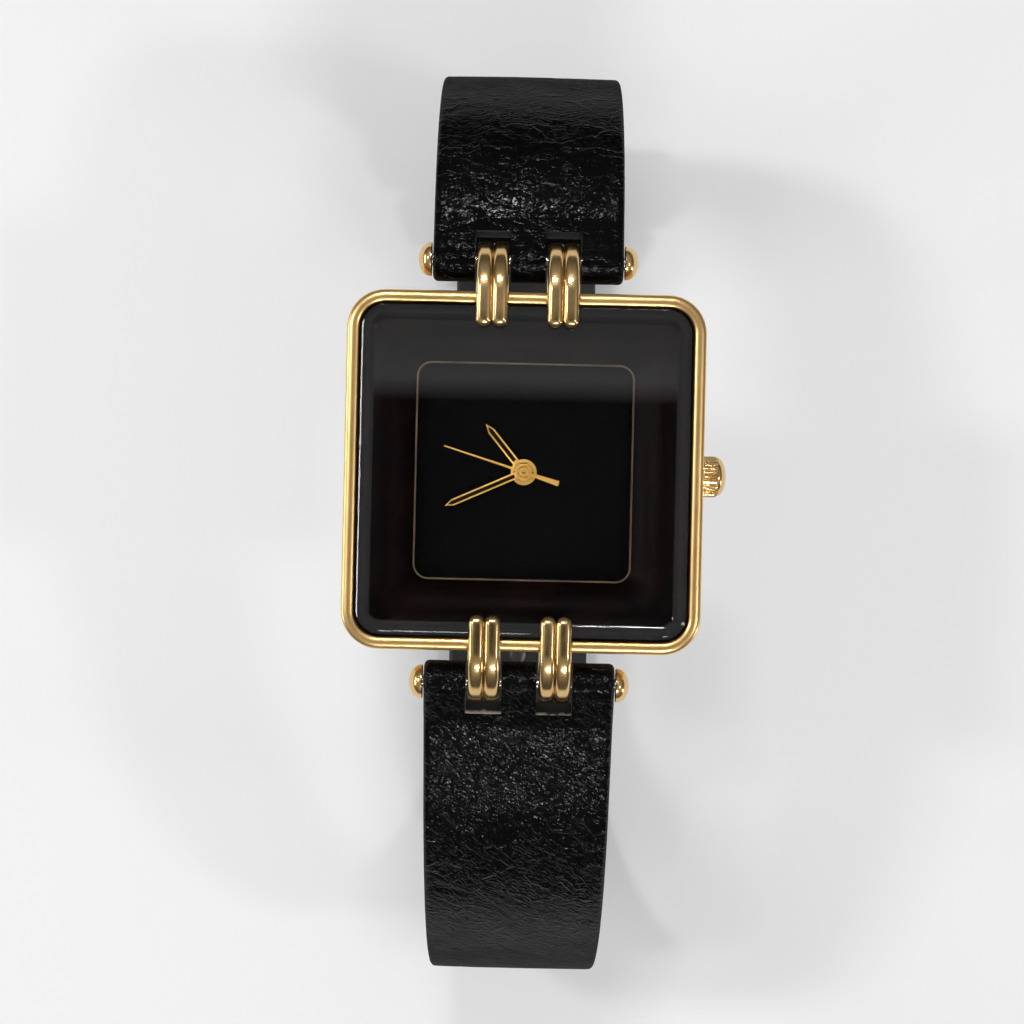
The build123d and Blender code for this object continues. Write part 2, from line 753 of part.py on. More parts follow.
with BuildPart() as coil:
    with BuildSketch(Plane.YZ.offset(coil_middle[0] - coil_length / 2)):
        with Locations((coil_place, stator_top + core_thickness / 2)):
            RectangleRounded(coil_depth, coil_height, coil_height / 3)
            Rectangle(core_width, core_thickness, mode=Mode.SUBTRACT)
    extrude(amount=coil_length)
finish(coil, "coil")

# Button cell with its stepped lid, and the strip that holds it
with BuildPart() as battery:
    add_disc(battery_radius, battery_place, movement_bottom, movement_bottom + battery_height - battery_step)
    chamfer(battery.faces().sort_by(Axis.Z)[0].edges(), battery_step / 2)
    lid_bottom = movement_bottom + battery_height - battery_step
    add_disc(battery_cap_radius, battery_place, lid_bottom, movement_bottom + battery_height)
finish(battery, "battery")

with BuildPart() as battery_clamp:
    clamp_direction = (cos(radians(battery_direction)), sin(radians(battery_direction)), 0)
    clamp_origin = (0, 0, movement_bottom - clamp_thickness)
    with BuildSketch(Plane(origin=clamp_origin, x_dir=clamp_direction, z_dir=(0, 0, 1))):
        with Locations((clamp_start, 0)):
            Rectangle(clamp_end - clamp_start, clamp_width, align=(Align.MIN, Align.CENTER))
    extrude(amount=clamp_thickness)
    fillet(battery_clamp.edges().filter_by(Axis.Z), clamp_width / 4)
finish(battery_clamp, "battery_clamp")

# Circuit board on the bridge, with its chip, and the quartz can beside it
with BuildPart() as circuit_board:
    with BuildSketch(Plane.XY.offset(bridge_top)):
        Circle(board_radius)
        with Locations((board_left, board_top)):
            Rectangle(2 * board_radius, 2 * board_radius, align=(Align.MIN, Align.MAX), mode=Mode.INTERSECT)
        with Locations(post_places[-1]):
            Circle(bridge_post_radius + seat_gap, mode=Mode.SUBTRACT)
        fourth_crest = fifth_module * (fourth_teeth / 2 + crest_share)
        Circle(fourth_crest + seat_gap, mode=Mode.SUBTRACT)
    extrude(amount=board_thickness)
    with BuildSketch(Plane.XY.offset(bridge_top + board_thickness)):
        with Locations((chip_x, chip_y)):
            RectangleRounded(chip_side, chip_side, chip_side / 4)
    extrude(amount=chip_height)
finish(circuit_board, "circuit_board")

with BuildPart() as quartz_can:
    with BuildSketch(Plane.YZ.offset(can_x - can_length / 2)):
        with Locations((can_y, bridge_top + board_thickness + can_radius)):
            Circle(can_radius)
    extrude(amount=can_length)
    chamfer(quartz_can.edges().filter_by(GeomType.CIRCLE), can_radius / 3)
finish(quartz_can, "quartz_can")

# Rotor: magnet, pinion and its two pivots
pivot_top = train_top + floor_thickness * pivot_share
with BuildPart() as rotor:
    add_disc(pivot_radius, rotor_place, movement_bottom, pivot_top)
    add_disc(arbor_radius, rotor_place, bridge_top + seat_gap, train_top - seat_gap)
    add_disc(magnet_radius, rotor_place, bridge_top + seat_gap * 2, bridge_top + seat_gap * 2 + magnet_height)
    rotor_to_fifth = rotor_direction + 180
    rotor_level = fifth_level - wheel_thickness / 2
    add_gear(rotor_leaves, rotor_module, rotor_place, rotor_to_fifth, rotor_level, 2 * wheel_thickness)
finish(rotor, "rotor")

# Fifth wheel
with BuildPart() as fifth_wheel:
    add_disc(pivot_radius, fifth_place, movement_bottom, pivot_top)
    add_disc(arbor_radius, fifth_place, bridge_top + seat_gap, train_top - seat_gap)
    fifth_phase = rotor_direction + 180 / fifth_teeth
    add_gear(fifth_teeth, rotor_module, fifth_place, fifth_phase, fifth_level, wheel_thickness)
    pinion_level = bridge_top + 2 * seat_gap
    pinion_height = third_level - seat_gap - pinion_level
    fifth_to_centre = fifth_direction + 180
    add_gear(fifth_leaves, fifth_module, fifth_place, fifth_to_centre, pinion_level, pinion_height)
finish(fifth_wheel, "fifth_wheel")

# Fourth wheel: its long arbor carries the second hand
second_top = second_hand_bottom + hand_thickness + hub_rise
with BuildPart() as fourth_wheel:
    add_disc(pivot_radius, centre, movement_bottom, bridge_top + seat_gap)
    add_disc(second_arbor_radius, centre, bridge_top + seat_gap, second_top)
    fourth_phase = fifth_direction + 180 / fourth_teeth
    add_gear(fourth_teeth, fifth_module, centre, fourth_phase, fourth_level, wheel_thickness)
    fourth_pinion = fourth_level + wheel_thickness
    pinion_height = centre_level - seat_gap - fourth_pinion - wheel_thickness
    add_gear(fourth_leaves, fourth_module, centre, third_direction, fourth_pinion, pinion_height)
finish(fourth_wheel, "fourth_wheel")

# Third wheel
with BuildPart() as third_wheel:
    add_disc(pivot_radius, third_place, movement_bottom, pivot_top)
    add_disc(arbor_radius, third_place, bridge_top + seat_gap, train_top - seat_gap)
    third_to_centre = third_direction + 180
    third_phase = third_to_centre + 180 / third_teeth
    add_gear(third_teeth, fourth_module, third_place, third_phase, third_level, wheel_thickness)
    pinion_level = centre_level - wheel_thickness
    add_gear(third_leaves, third_module, third_place, third_to_centre, pinion_level, 3 * wheel_thickness)
finish(third_wheel, "third_wheel")

# Centre wheel: one pipe with the wheel below the main plate and the cannon leaves above it
minute_pipe_top = minute_hand_bottom + hand_thickness + hub_rise / 2
with BuildPart() as centre_wheel:
    add_disc(centre_pipe_radius, centre, centre_level, minute_pipe_top)
    centre_phase = third_direction + 180 / centre_teeth
    add_gear(centre_teeth, third_module, centre, centre_phase, centre_level, wheel_thickness)
    add_gear(cannon_leaves, cannon_module, centre, 0, cannon_level, hour_level - cannon_level - running_gap)
    add_disc(centre_bore_radius, centre, centre_level - overrun, minute_pipe_top + overrun, Mode.SUBTRACT)
finish(centre_wheel, "centre_wheel")

# Minute wheel and its pinion, on a post of the main plate
with BuildPart() as minute_wheel:
    minute_phase = 180 + 180 / minute_teeth
    minute_wheel_height = hour_level - cannon_level - 2 * running_gap
    add_gear(minute_teeth, cannon_module, minute_place, minute_phase, cannon_level, minute_wheel_height)
    pinion_height = plate_top - running_gap - hour_level + 2 * running_gap
    pinion_level = hour_level - 2 * running_gap
    add_gear(minute_leaves, hour_module, minute_place, 180, pinion_level, pinion_height)
    add_disc(post_radius + running_gap, minute_place, cannon_level - overrun, plate_top, Mode.SUBTRACT)
finish(minute_wheel, "minute_wheel")

# Hour wheel with the pipe of the hour hand
hour_pipe_top = hour_hand_bottom + hand_thickness + hub_rise / 2
with BuildPart() as hour_wheel:
    add_gear(hour_teeth, hour_module, centre, 180 / hour_teeth, hour_level, wheel_thickness)
    add_disc(hour_pipe_radius, centre, hour_level, hour_pipe_top)
    add_disc(hour_bore_radius, centre, hour_level - overrun, hour_pipe_top + overrun, Mode.SUBTRACT)
finish(hour_wheel, "hour_wheel")

# Setting wheel, between the clutch and the minute wheel
with BuildPart() as setting_wheel:
    add_gear(setting_teeth, cannon_module, setting_place, 180, cannon_level, wheel_thickness)
    add_disc(post_radius + running_gap, setting_place, cannon_level - overrun, plate_top, Mode.SUBTRACT)
finish(setting_wheel, "setting_wheel")


# Hands: a gold rim round a dark slot, with a pencil point
def hand_plane(direction, bottom):
    angle = radians(direction)
    return Plane(origin=(0, 0, bottom), x_dir=(sin(angle), cos(angle), 0), z_dir=(0, 0, 1))


def add_pencil(start, length, width, mode=Mode.ADD):
    # A straight bar whose end is cut to a point
    half = width / 2
    shoulder = length - point_share * width
    with BuildLine() as outline:
        Polyline((start, -half), (shoulder, -half), (length, 0), (shoulder, half), (start, half), close=True)
    make_face(outline.edges(), mode=mode)


hour_shape = (hour_length, hour_width, hour_hub, hour_pipe_radius)
minute_shape = (minute_length, minute_width, minute_hub, centre_pipe_radius)
for name, direction, bottom, shape in (
    ("hour", hour_direction, hour_hand_bottom, hour_shape),
    ("minute", minute_direction, minute_hand_bottom, minute_shape),
):
    length, width, hub, bore = shape
    fill_start = hub + hand_rim
    fill_end = length - 2 * hand_rim
    fill_width = width - 2 * hand_rim
    with BuildPart() as hand:
        with BuildSketch(hand_plane(direction, bottom)):
            add_pencil(0, length, width)
            add_pencil(fill_start, fill_end, fill_width, Mode.SUBTRACT)
        extrude(amount=hand_thickness)
        with BuildSketch(hand_plane(direction, bottom)):
            Circle(hub)
        extrude(amount=hand_thickness + hub_rise / 2)
        with BuildSketch(hand_plane(direction, bottom)):
            Circle(bore)
        extrude(amount=hand_thickness + hub_rise, mode=Mode.SUBTRACT)
    finish(hand, f"{name}_hand")
    with BuildPart() as hand_fill:
        with BuildSketch(hand_plane(direction, bottom)):
            add_pencil(fill_start, fill_end, fill_width)
        extrude(amount=hand_thickness / 2)
    finish(hand_fill, f"{name}_hand_fill")

with BuildPart() as second_hand:
    with BuildSketch(hand_plane(second_direction, second_hand_bottom)):
        with BuildLine():
            needle = [(-second_tail, second_width), (0, second_width / 2)]
            needle += [(second_length, second_width / 4), (second_length, -second_width / 4)]
            needle += [(0, -second_width / 2), (-second_tail, -second_width)]
            Polyline(*needle, close=True)
        make_face()
        Circle(second_hub)
        Circle(second_arbor_radius, mode=Mode.SUBTRACT)
    extrude(amount=hand_thickness)
finish(second_hand, "second_hand")

# Stem: pilot, square for the clutch, groove for the setting lever, and the length into the crown
groove_start = stem_square_end + stem_fit
groove_end = groove_start + stem_groove_width
stem_end = crown_start + crown_socket_depth + crown_dome / 2
with BuildPart() as stem:
    add_rod(stem_pilot_radius, stem_pilot_start, groove_end)
    with BuildSketch(Plane.YZ.offset(stem_square_start)):
        with Locations((0, stem_height)):
            Rectangle(stem_square, stem_square)
    extrude(amount=stem_square_end - stem_square_start)
    add_rod(stem_radius, groove_end, stem_end)
finish(stem, "stem")

# Crown: knurled barrel, domed end, and the socket that runs over the case tube
with BuildPart() as crown:
    with BuildSketch(Plane.YZ.offset(crown_start)):
        with BuildLine():
            knurl = [
                polar(radius, (index + half_share) * 360 / crown_ridges, (0, stem_height))
                for index in range(crown_ridges)
                for radius, half_share in (
                    (crown_radius - crown_ridge_depth, -2 * crest_half_share),
                    (crown_radius, -crest_half_share),
                    (crown_radius, crest_half_share),
                    (crown_radius - crown_ridge_depth, 2 * crest_half_share),
                )
            ]
            Polyline(*knurl, close=True)
        make_face()
    extrude(amount=crown_knurl_length)
    dome_radius = crown_radius - crown_ridge_depth
    dome_start = crown_start + crown_knurl_length
    add_rod(dome_radius, dome_start, dome_start + crown_dome)
    chamfer(crown.faces().sort_by(Axis.X)[-1].edges(), crown_dome * crown_bevel_share)
    add_rod(crown_socket_radius, crown_start, crown_start + crown_socket_depth, Mode.SUBTRACT)
    add_rod(stem_radius, crown_start, stem_end, Mode.SUBTRACT)
finish(crown, "crown")

# Case tube, pressed into the case wall
tube_start = cavity_side / 2
with BuildPart() as crown_tube:
    add_rod(tube_radius, tube_start, tube_start + tube_length)
    add_rod(tube_bore, tube_start, tube_start + tube_length, Mode.SUBTRACT)
finish(crown_tube, "crown_tube")

# Gasket of the crown, between the socket and the tube
with BuildPart() as crown_gasket:
    gasket_start = crown_start + seat_gap * 2
    gasket_outer = tube_radius + running_gap + crown_gasket_width
    add_rod(gasket_outer, gasket_start, gasket_start + crown_gasket_length)
    add_rod(tube_radius + running_gap, gasket_start, gasket_start + crown_gasket_length, Mode.SUBTRACT)
finish(crown_gasket, "crown_gasket")

# Clutch: face teeth towards the setting wheel, and a neck for the yoke
with BuildPart() as clutch:
    add_rod(clutch_radius, clutch_start, clutch_start + clutch_ring)
    add_rod(clutch_neck_radius, clutch_start + clutch_ring, clutch_start + 2 * clutch_ring)
    add_rod(clutch_back_radius, clutch_start + 2 * clutch_ring, clutch_end)
    tooth_gap = 2 * clutch_radius * sin(radians(90 / clutch_teeth))
    for index in range(clutch_teeth):
        turn = 90 + index * 360 / clutch_teeth
        place = (clutch_start, *polar(clutch_radius, turn, (0, stem_height)))
        outward = (0, cos(radians(turn)), sin(radians(turn)))
        with BuildSketch(Plane(origin=place, x_dir=outward, z_dir=(1, 0, 0))):
            Rectangle(clutch_radius - clutch_neck_radius, tooth_gap)
        extrude(amount=clutch_tooth_depth, mode=Mode.SUBTRACT)
    with BuildSketch(Plane.YZ.offset(clutch_start)):
        with Locations((0, stem_height)):
            Rectangle(stem_square + 2 * running_gap, stem_square + 2 * running_gap)
    extrude(amount=3 * clutch_ring, mode=Mode.SUBTRACT)
finish(clutch, "clutch")

# Setting lever: its tip stands in the groove of the stem
lever_tip = (lever_pin_place, -stem_pilot_radius - stem_fit)
with BuildPart() as setting_lever:
    with BuildSketch(Plane.XY.offset(stem_height - lever_thickness / 2)):
        with BuildLine():
            tip_half = (stem_groove_width - 2 * stem_fit) / 2
            Polyline(
                (lever_tip[0] - tip_half, lever_tip[1]),
                (lever_tip[0] + tip_half, lever_tip[1]),
                (lever_pivot[0] + lever_width / 2, lever_pivot[1]),
                (lever_pivot[0] - lever_width / 2, lever_pivot[1]),
                close=True,
            )
        make_face()
        with Locations(lever_pivot):
            Circle(lever_boss)
            Circle(post_radius + running_gap, mode=Mode.SUBTRACT)
    extrude(amount=lever_thickness)
finish(setting_lever, "setting_lever")

# Yoke: a plate that slides under the main plate, with a finger in the neck of the clutch
finger_middle = clutch_start + 1.5 * clutch_ring
yoke_top = train_top - running_gap
with BuildPart() as yoke:
    with BuildSketch(Plane.XY.offset(yoke_top - yoke_thickness)):
        with Locations((finger_middle, yoke_plate_place)):
            Rectangle(yoke_plate_width, yoke_plate_length)
    extrude(amount=yoke_thickness)
    finger_root = yoke_plate_place - yoke_plate_length / 2
    finger_depth = yoke_top - stem_height + clutch_neck_radius / 2
    finger_tip = clutch_neck_radius + running_gap * 2
    with BuildSketch(Plane.XY.offset(yoke_top)):
        with Locations((finger_middle, finger_tip)):
            Rectangle(yoke_finger, finger_root + overrun - finger_tip, align=(Align.CENTER, Align.MIN))
    extrude(amount=-finger_depth)
finish(yoke, "yoke")


# Strap path in the YZ plane, drawn for the 12 o'clock side: each run is a straight, then a bend downwards
def walk(start, heading, runs, shift=0):
    # Start, end of the straight, bend centre and heading of each run, on a line shifted outwards
    place = polar(shift, heading + 90, start)
    steps = []
    for straight, radius, turn in runs:
        after = polar(straight, heading, place)
        hub = polar(-(radius + shift), heading + 90, after)
        steps.append((place, after, hub, heading))
        heading -= turn
        place = polar(radius + shift, heading + 90, hub)
    return steps, place


def add_face_line(slope, runs, side, shift):
    # Lines and arcs of one face of the strap; gives back its two ends
    steps, end = walk(bar_place, -slope, runs, shift)
    for (place, after, hub, heading), (straight, radius, turn) in zip(steps, runs):
        if straight:
            Line((side * place[0], place[1]), (side * after[0], after[1]))
        if turn:
            first = heading + 90 if side > 0 else 90 - heading
            CenterArc((side * hub[0], hub[1]), radius + shift, first, -side * turn)
    return (side * steps[0][0][0], steps[0][0][1]), (side * end[0], end[1])


bar_place = (bar_reach, bar_height)
half_strap = strap_thickness / 2
slot_width = 2 * rib_width - rib_overlap + 2 * slot_gap
upper_runs = [
    (upper_straight, upper_shoulder, 90 - upper_slope),
    (upper_side, upper_bottom, 90),
    (upper_flat, 0, 0),
]
upper_steps, upper_end = walk(bar_place, -upper_slope, upper_runs)
floor_height = upper_end[1] - half_strap

# The last bend of the lower half is as large as the height that is left to it
lower_shoulder_run = (lower_straight, lower_shoulder, 90 - lower_slope)
lower_bottom = walk(bar_place, -lower_slope, [lower_shoulder_run])[1][1] - upper_end[1]

# Its flat ends short of the far end of the buckle
buckle_end = upper_end[0] - buckle_length
lower_bend_end = walk(bar_place, -lower_slope, [lower_shoulder_run, (0, lower_bottom, 90)])[1][0]
lower_flat = lower_bend_end + buckle_end - tip_gap
lower_runs = [lower_shoulder_run, (0, lower_bottom, 90), (lower_flat, 0, 0)]
lower_steps, lower_end = walk(bar_place, -lower_slope, lower_runs)


def half_width(height):
    # Half the strap's width at a height: it tapers from the bars to the resting surface
    share = (bar_height - height) / (bar_height - floor_height)
    return (strap_width + (strap_end_width - strap_width) * min(max(share, 0), 1)) / 2


def add_strap(runs, slope, side):
    # Band, rolled end round the bar, and the slots that the hoops pass through
    with BuildSketch(Plane.YZ) as band:
        with BuildLine():
            outer_start, outer_end = add_face_line(slope, runs, side, half_strap)
            inner_start, inner_end = add_face_line(slope, runs, side, -half_strap)
            Line(outer_start, inner_start)
            Line(outer_end, inner_end)
        make_face()
        with BuildLine():
            thin = polar(wedge_length, -slope, bar_place)
            wedge = [polar(barrel_radius, 90 - slope, bar_place), polar(half_strap, 90 - slope, thin)]
            wedge += [polar(-half_strap, 90 - slope, thin), polar(-barrel_radius, 90 - slope, bar_place)]
            Polyline(*[(side * across, height) for across, height in wedge], close=True)
        make_face()
        with Locations((side * bar_reach, bar_height)):
            Circle(barrel_radius)
    extrude(band.sketch, amount=strap_width / 2, both=True)
    with BuildSketch(Plane.XZ) as taper:
        with BuildLine():
            right = [(strap_width / 2, bar_height + 2 * barrel_radius), (strap_width / 2, bar_height)]
            right += [(strap_end_width / 2, floor_height), (strap_end_width / 2, floor_height - overrun)]
            left = [(-across, height) for across, height in reversed(right)]
            Polyline(*right, *left, close=True)
        make_face()
    everything = 2 * (bar_reach + upper_shoulder + lower_shoulder)
    extrude(taper.sketch, amount=everything, both=True, mode=Mode.INTERSECT)
    for across in (-hoop_place, hoop_place):
        with BuildSketch(Plane.YZ.offset(across - slot_width / 2)) as slot:
            with Locations((side * bar_reach, bar_height)):
                Circle(slot_reach)
        extrude(slot.sketch, amount=slot_width, mode=Mode.SUBTRACT)
    with BuildSketch(Plane.YZ) as bar_hole:
        with Locations((side * bar_reach, bar_height)):
            Circle(bar_radius + bar_fit)
    extrude(bar_hole.sketch, amount=strap_width, both=True, mode=Mode.SUBTRACT)


with BuildPart() as strap_upper:
    add_strap(upper_runs, upper_slope, 1)
    with BuildSketch(Plane.YZ):
        with Locations(upper_end):
            Circle(half_strap)
    extrude(amount=half_width(upper_end[1]), both=True)
    with BuildSketch(Plane.YZ):
        with Locations(upper_end):
            Circle(buckle_bar_radius)
    extrude(amount=strap_width, both=True, mode=Mode.SUBTRACT)
    with BuildSketch(Plane.XY.offset(floor_height - overrun)):
        with Locations((0, upper_end[0] - strap_thickness)):
            slot_length = tongue_slot_length + strap_thickness
            Rectangle(tongue_slot, slot_length, align=(Align.CENTER, Align.MIN))
    extrude(amount=strap_thickness + 2 * overrun, mode=Mode.SUBTRACT)
finish(strap_upper, "strap_upper")


def place_from_tip(distance):
    # Point and outward direction on the middle of the lower half, measured back from its tip
    if distance < lower_flat:
        return (-lower_end[0] - distance, lower_end[1]), (0, 0, -1)
    turn = degrees((distance - lower_flat) / lower_bottom)
    hub = lower_steps[1][2]
    place = polar(lower_bottom, turn - 90, hub)
    return (-place[0], place[1]), (0, -cos(radians(turn - 90)), sin(radians(turn - 90)))


# Lower half, with its rounded tip and the row of buckle holes
with BuildPart() as strap_lower:
    add_strap(lower_runs, lower_slope, -1)
    tip_radius = half_width(lower_end[1])
    with BuildSketch(Plane.XY.offset(floor_height - overrun)):
        with Locations((0, -lower_end[0] - tip_radius)):
            Rectangle(strap_width, tip_radius + overrun, align=(Align.CENTER, Align.MIN))
            Circle(tip_radius, mode=Mode.SUBTRACT)
    extrude(amount=strap_thickness + 2 * overrun, mode=Mode.SUBTRACT)
    for index in range(hole_count):
        place, outward = place_from_tip(hole_first + index * hole_pitch)
        with BuildSketch(Plane(origin=(0, *place), x_dir=(1, 0, 0), z_dir=outward)):
            Circle(hole_radius)
        extrude(amount=strap_thickness, both=True, mode=Mode.SUBTRACT)
finish(strap_lower, "strap_lower")

# Keepers: loops round the strap with room for the tail, bent to the curve of the strap
bend_hub = upper_steps[1][2]
for name, first_angle, travel in (
    ("fixed_keeper", fixed_keeper_angle, 0),
    ("free_keeper", free_keeper_angle, free_keeper_travel),
):
    widest_angle = first_angle + keeper_length_angle + travel
    inside_half = half_width(polar(upper_bottom, widest_angle - 90, bend_hub)[1]) + keeper_gap
    inside_low = upper_bottom - half_strap - keeper_gap
    inside_high = upper_bottom + half_strap + keeper_room
    radial = (0, *polar(1, first_angle - 90))
    keeper_normal = (0, -radial[2], radial[1])
    with BuildPart() as keeper:
        with BuildSketch(Plane(origin=(0, *bend_hub), x_dir=(1, 0, 0), z_dir=keeper_normal)):
            with Locations((0, (inside_low + inside_high) / 2)):
                keeper_height = inside_high - inside_low + 2 * keeper_wall
                RectangleRounded(2 * (inside_half + keeper_wall), keeper_height, keeper_wall)
                Rectangle(2 * inside_half, inside_high - inside_low, mode=Mode.SUBTRACT)
        revolve(axis=Axis((0, *bend_hub), (1, 0, 0)), revolution_arc=keeper_length_angle)
    finish(keeper, name)

# Buckle frame: two arms from the bar and a cross bar with a seat for the tongue
frame_inside = half_width(upper_end[1]) + buckle_side_gap
frame_outside = frame_inside + buckle_arm
with BuildPart() as buckle_frame:
    with BuildSketch(Plane.YZ):
        cross_middle = (buckle_end + buckle_end_height / 2, floor_height + buckle_end_height / 2)
        with BuildLine():
            CenterArc(upper_end, half_strap, 0, 360)
            CenterArc(cross_middle, buckle_end_height / 2, 0, 360)
        make_hull()
    extrude(amount=frame_outside, both=True)
    with BuildSketch(Plane.XY.offset(floor_height - overrun)):
        with Locations((0, buckle_end + buckle_rim)):
            inside_length = buckle_length + strap_thickness
            Rectangle(2 * frame_inside, inside_length, align=(Align.CENTER, Align.MIN))
    extrude(amount=strap_thickness + 2 * overrun, mode=Mode.SUBTRACT)
    with BuildSketch(Plane.XY.offset(floor_height - overrun)):
        with Locations((0, buckle_end - buckle_rim)):
            Rectangle(tongue_width + 2 * tongue_gap, 3 * buckle_rim, align=(Align.CENTER, Align.MIN))
    extrude(amount=overrun + tongue_thickness + tongue_gap, mode=Mode.SUBTRACT)
    with BuildSketch(Plane.YZ):
        with Locations(upper_end):
            Circle(buckle_bar_radius + buckle_fit)
    extrude(amount=strap_width, both=True, mode=Mode.SUBTRACT)
finish(buckle_frame, "buckle_frame")

with BuildPart() as buckle_bar:
    with BuildSketch(Plane.YZ):
        with Locations(upper_end):
            Circle(buckle_bar_radius)
    extrude(amount=frame_outside, both=True)
finish(buckle_bar, "buckle_bar")

# Tongue: a ring on the bar and a flat finger that rests in the seat of the frame
with BuildPart() as buckle_tongue:
    with BuildSketch(Plane.YZ):
        with Locations(upper_end):
            Circle(tongue_ring)
        with Locations((upper_end[0], floor_height)):
            finger_length = buckle_length - tongue_gap
            Rectangle(finger_length, tongue_thickness, align=(Align.MAX, Align.MIN))
        with Locations(upper_end):
            Circle(buckle_bar_radius + buckle_fit, mode=Mode.SUBTRACT)
    extrude(amount=tongue_width / 2, both=True)
finish(buckle_tongue, "buckle_tongue")
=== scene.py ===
from cmath import rect
from contextlib import contextmanager
from math import cos, degrees, exp, hypot, pi, radians, sin, sqrt

import bmesh
import bpy
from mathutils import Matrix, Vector, noise


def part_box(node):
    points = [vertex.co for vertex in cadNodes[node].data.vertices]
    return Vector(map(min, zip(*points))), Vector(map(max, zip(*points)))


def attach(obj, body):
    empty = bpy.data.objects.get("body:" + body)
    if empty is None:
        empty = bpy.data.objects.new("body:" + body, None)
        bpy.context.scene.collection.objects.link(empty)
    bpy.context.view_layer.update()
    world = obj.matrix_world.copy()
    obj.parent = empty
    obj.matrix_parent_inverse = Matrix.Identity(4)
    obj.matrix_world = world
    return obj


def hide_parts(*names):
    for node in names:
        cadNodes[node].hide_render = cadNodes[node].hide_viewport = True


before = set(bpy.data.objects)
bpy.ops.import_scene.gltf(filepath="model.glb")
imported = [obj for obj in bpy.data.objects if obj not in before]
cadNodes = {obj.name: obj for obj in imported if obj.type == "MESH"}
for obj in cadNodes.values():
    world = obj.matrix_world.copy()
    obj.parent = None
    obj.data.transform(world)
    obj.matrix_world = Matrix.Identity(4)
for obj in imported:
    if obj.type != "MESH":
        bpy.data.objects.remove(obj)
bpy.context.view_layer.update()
mm = 0.001
white = (1, 1, 1, 1)
print("watch: CAD frame loaded,", len(cadNodes), "nodes")


def blankMaterial(name):
    material = bpy.data.materials.new(name)
    material.use_nodes = True
    material.node_tree.nodes.clear()
    return material, material.node_tree


def shaderTree(name):
    # A new material with one Principled shader, and what is needed to wire it
    material, tree = blankMaterial(name)
    shader = tree.nodes.new("ShaderNodeBsdfPrincipled")
    addNode(tree, "ShaderNodeOutputMaterial", Surface=shader)
    return material, tree, shader


def fill(tree, socket, value):
    # Link another node or one of its outputs, or set a plain value
    if isinstance(value, bpy.types.Node):
        value = value.outputs[0]
    if isinstance(value, bpy.types.NodeSocket):
        tree.links.new(value, socket)
    else:
        socket.default_value = value


def wire(tree, node, **inputs):
    # Fill inputs by name, with an underscore for a space
    for name, value in inputs.items():
        fill(tree, node.inputs[name.replace("_", " ")], value)


def addNode(tree, kind, settings=None, *ordered, **named):
    # A node with its properties set and its inputs filled, in order or by name
    node = tree.nodes.new(kind)
    for key, value in (settings or {}).items():
        setattr(node, key, value)
    for socket, value in zip(node.inputs, ordered):
        fill(tree, socket, value)
    wire(tree, node, **named)
    return node


def combine(tree, operation, *values):
    return addNode(tree, "ShaderNodeMath", {"operation": operation}, *values)


def layOver(tree, shader, other, factor):
    # Another shader takes the material's surface over by a factor
    output = [node for node in tree.nodes if node.type == "OUTPUT_MATERIAL"][0]
    wire(tree, output, Surface=addNode(tree, "ShaderNodeMixShader", None, factor, shader, other))


def objectPlace(tree, stretch=(1, 1, 1), turn=(0, 0, 0)):
    # Object coordinates, stretched and turned for a pattern
    place = addNode(tree, "ShaderNodeTexCoord").outputs["Object"]
    return addNode(tree, "ShaderNodeMapping", Vector=place, Scale=stretch, Rotation=turn)


def noiseOf(tree, vector, scale, detail=4, roughness=0.55, distortion=0):
    node = addNode(tree, "ShaderNodeTexNoise", Vector=vector, Scale=scale, Detail=detail,
                   Roughness=roughness, Distortion=distortion)
    return node.outputs["Fac"]


def ramp(tree, factor, stops):
    # Colours or greys at places from 0 to 1
    node = addNode(tree, "ShaderNodeValToRGB", Fac=factor)
    elements = node.color_ramp.elements
    while len(elements) < len(stops):
        elements.new(0.5)
    for element, (place, tone) in zip(elements, stops):
        element.position = place
        element.color = (*tone, 1) if isinstance(tone, tuple) else (tone, tone, tone, 1)
    return node.outputs["Color"]


def rangeOf(tree, value, low, high, first=0, last=1):
    return addNode(tree, "ShaderNodeMapRange", Value=value, From_Min=low, From_Max=high, To_Min=first,
                   To_Max=last)


def bumpOf(tree, height, strength, distance, below=None):
    node = addNode(tree, "ShaderNodeBump", Height=height, Strength=strength, Distance=distance)
    if below is not None:
        wire(tree, node, Normal=below)
    return node


def paint(piece, material):
    # The piece's only material
    piece.data.materials.clear()
    piece.data.materials.append(material)


def addPiece(name, data):
    piece = bpy.data.objects.new(name, data)
    bpy.context.scene.collection.objects.link(piece)
    return piece


def meshPiece(name, vertices, faces, material):
    mesh = bpy.data.meshes.new(name)
    mesh.from_pydata(vertices, [], faces)
    mesh.validate()
    mesh.update()
    mesh.materials.append(material)
    mesh.shade_smooth()
    return addPiece(name, mesh)


@contextmanager
def editedMesh(mesh):
    # The mesh as an edit mesh that is written back at the end
    shape = bmesh.new()
    shape.from_mesh(mesh)
    yield shape
    shape.to_mesh(mesh)
    shape.free()


def outwardNormals(piece):
    with editedMesh(piece.data) as shape:
        bmesh.ops.remove_doubles(shape, verts=shape.verts, dist=1e-7)
        bmesh.ops.recalc_face_normals(shape, faces=shape.faces)


def sharpEdges(piece, angle):
    # Shade smooth, but keep edges sharper than the angle crisp
    with editedMesh(piece.data) as shape:
        for edge in shape.edges:
            if len(edge.link_faces) == 2 and edge.calc_face_angle(0) > radians(angle):
                edge.smooth = False
        for face in shape.faces:
            face.smooth = True


def finishPiece(piece, body, slot, *nodes):
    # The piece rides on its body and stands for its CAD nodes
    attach(piece, body)
    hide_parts(*nodes)


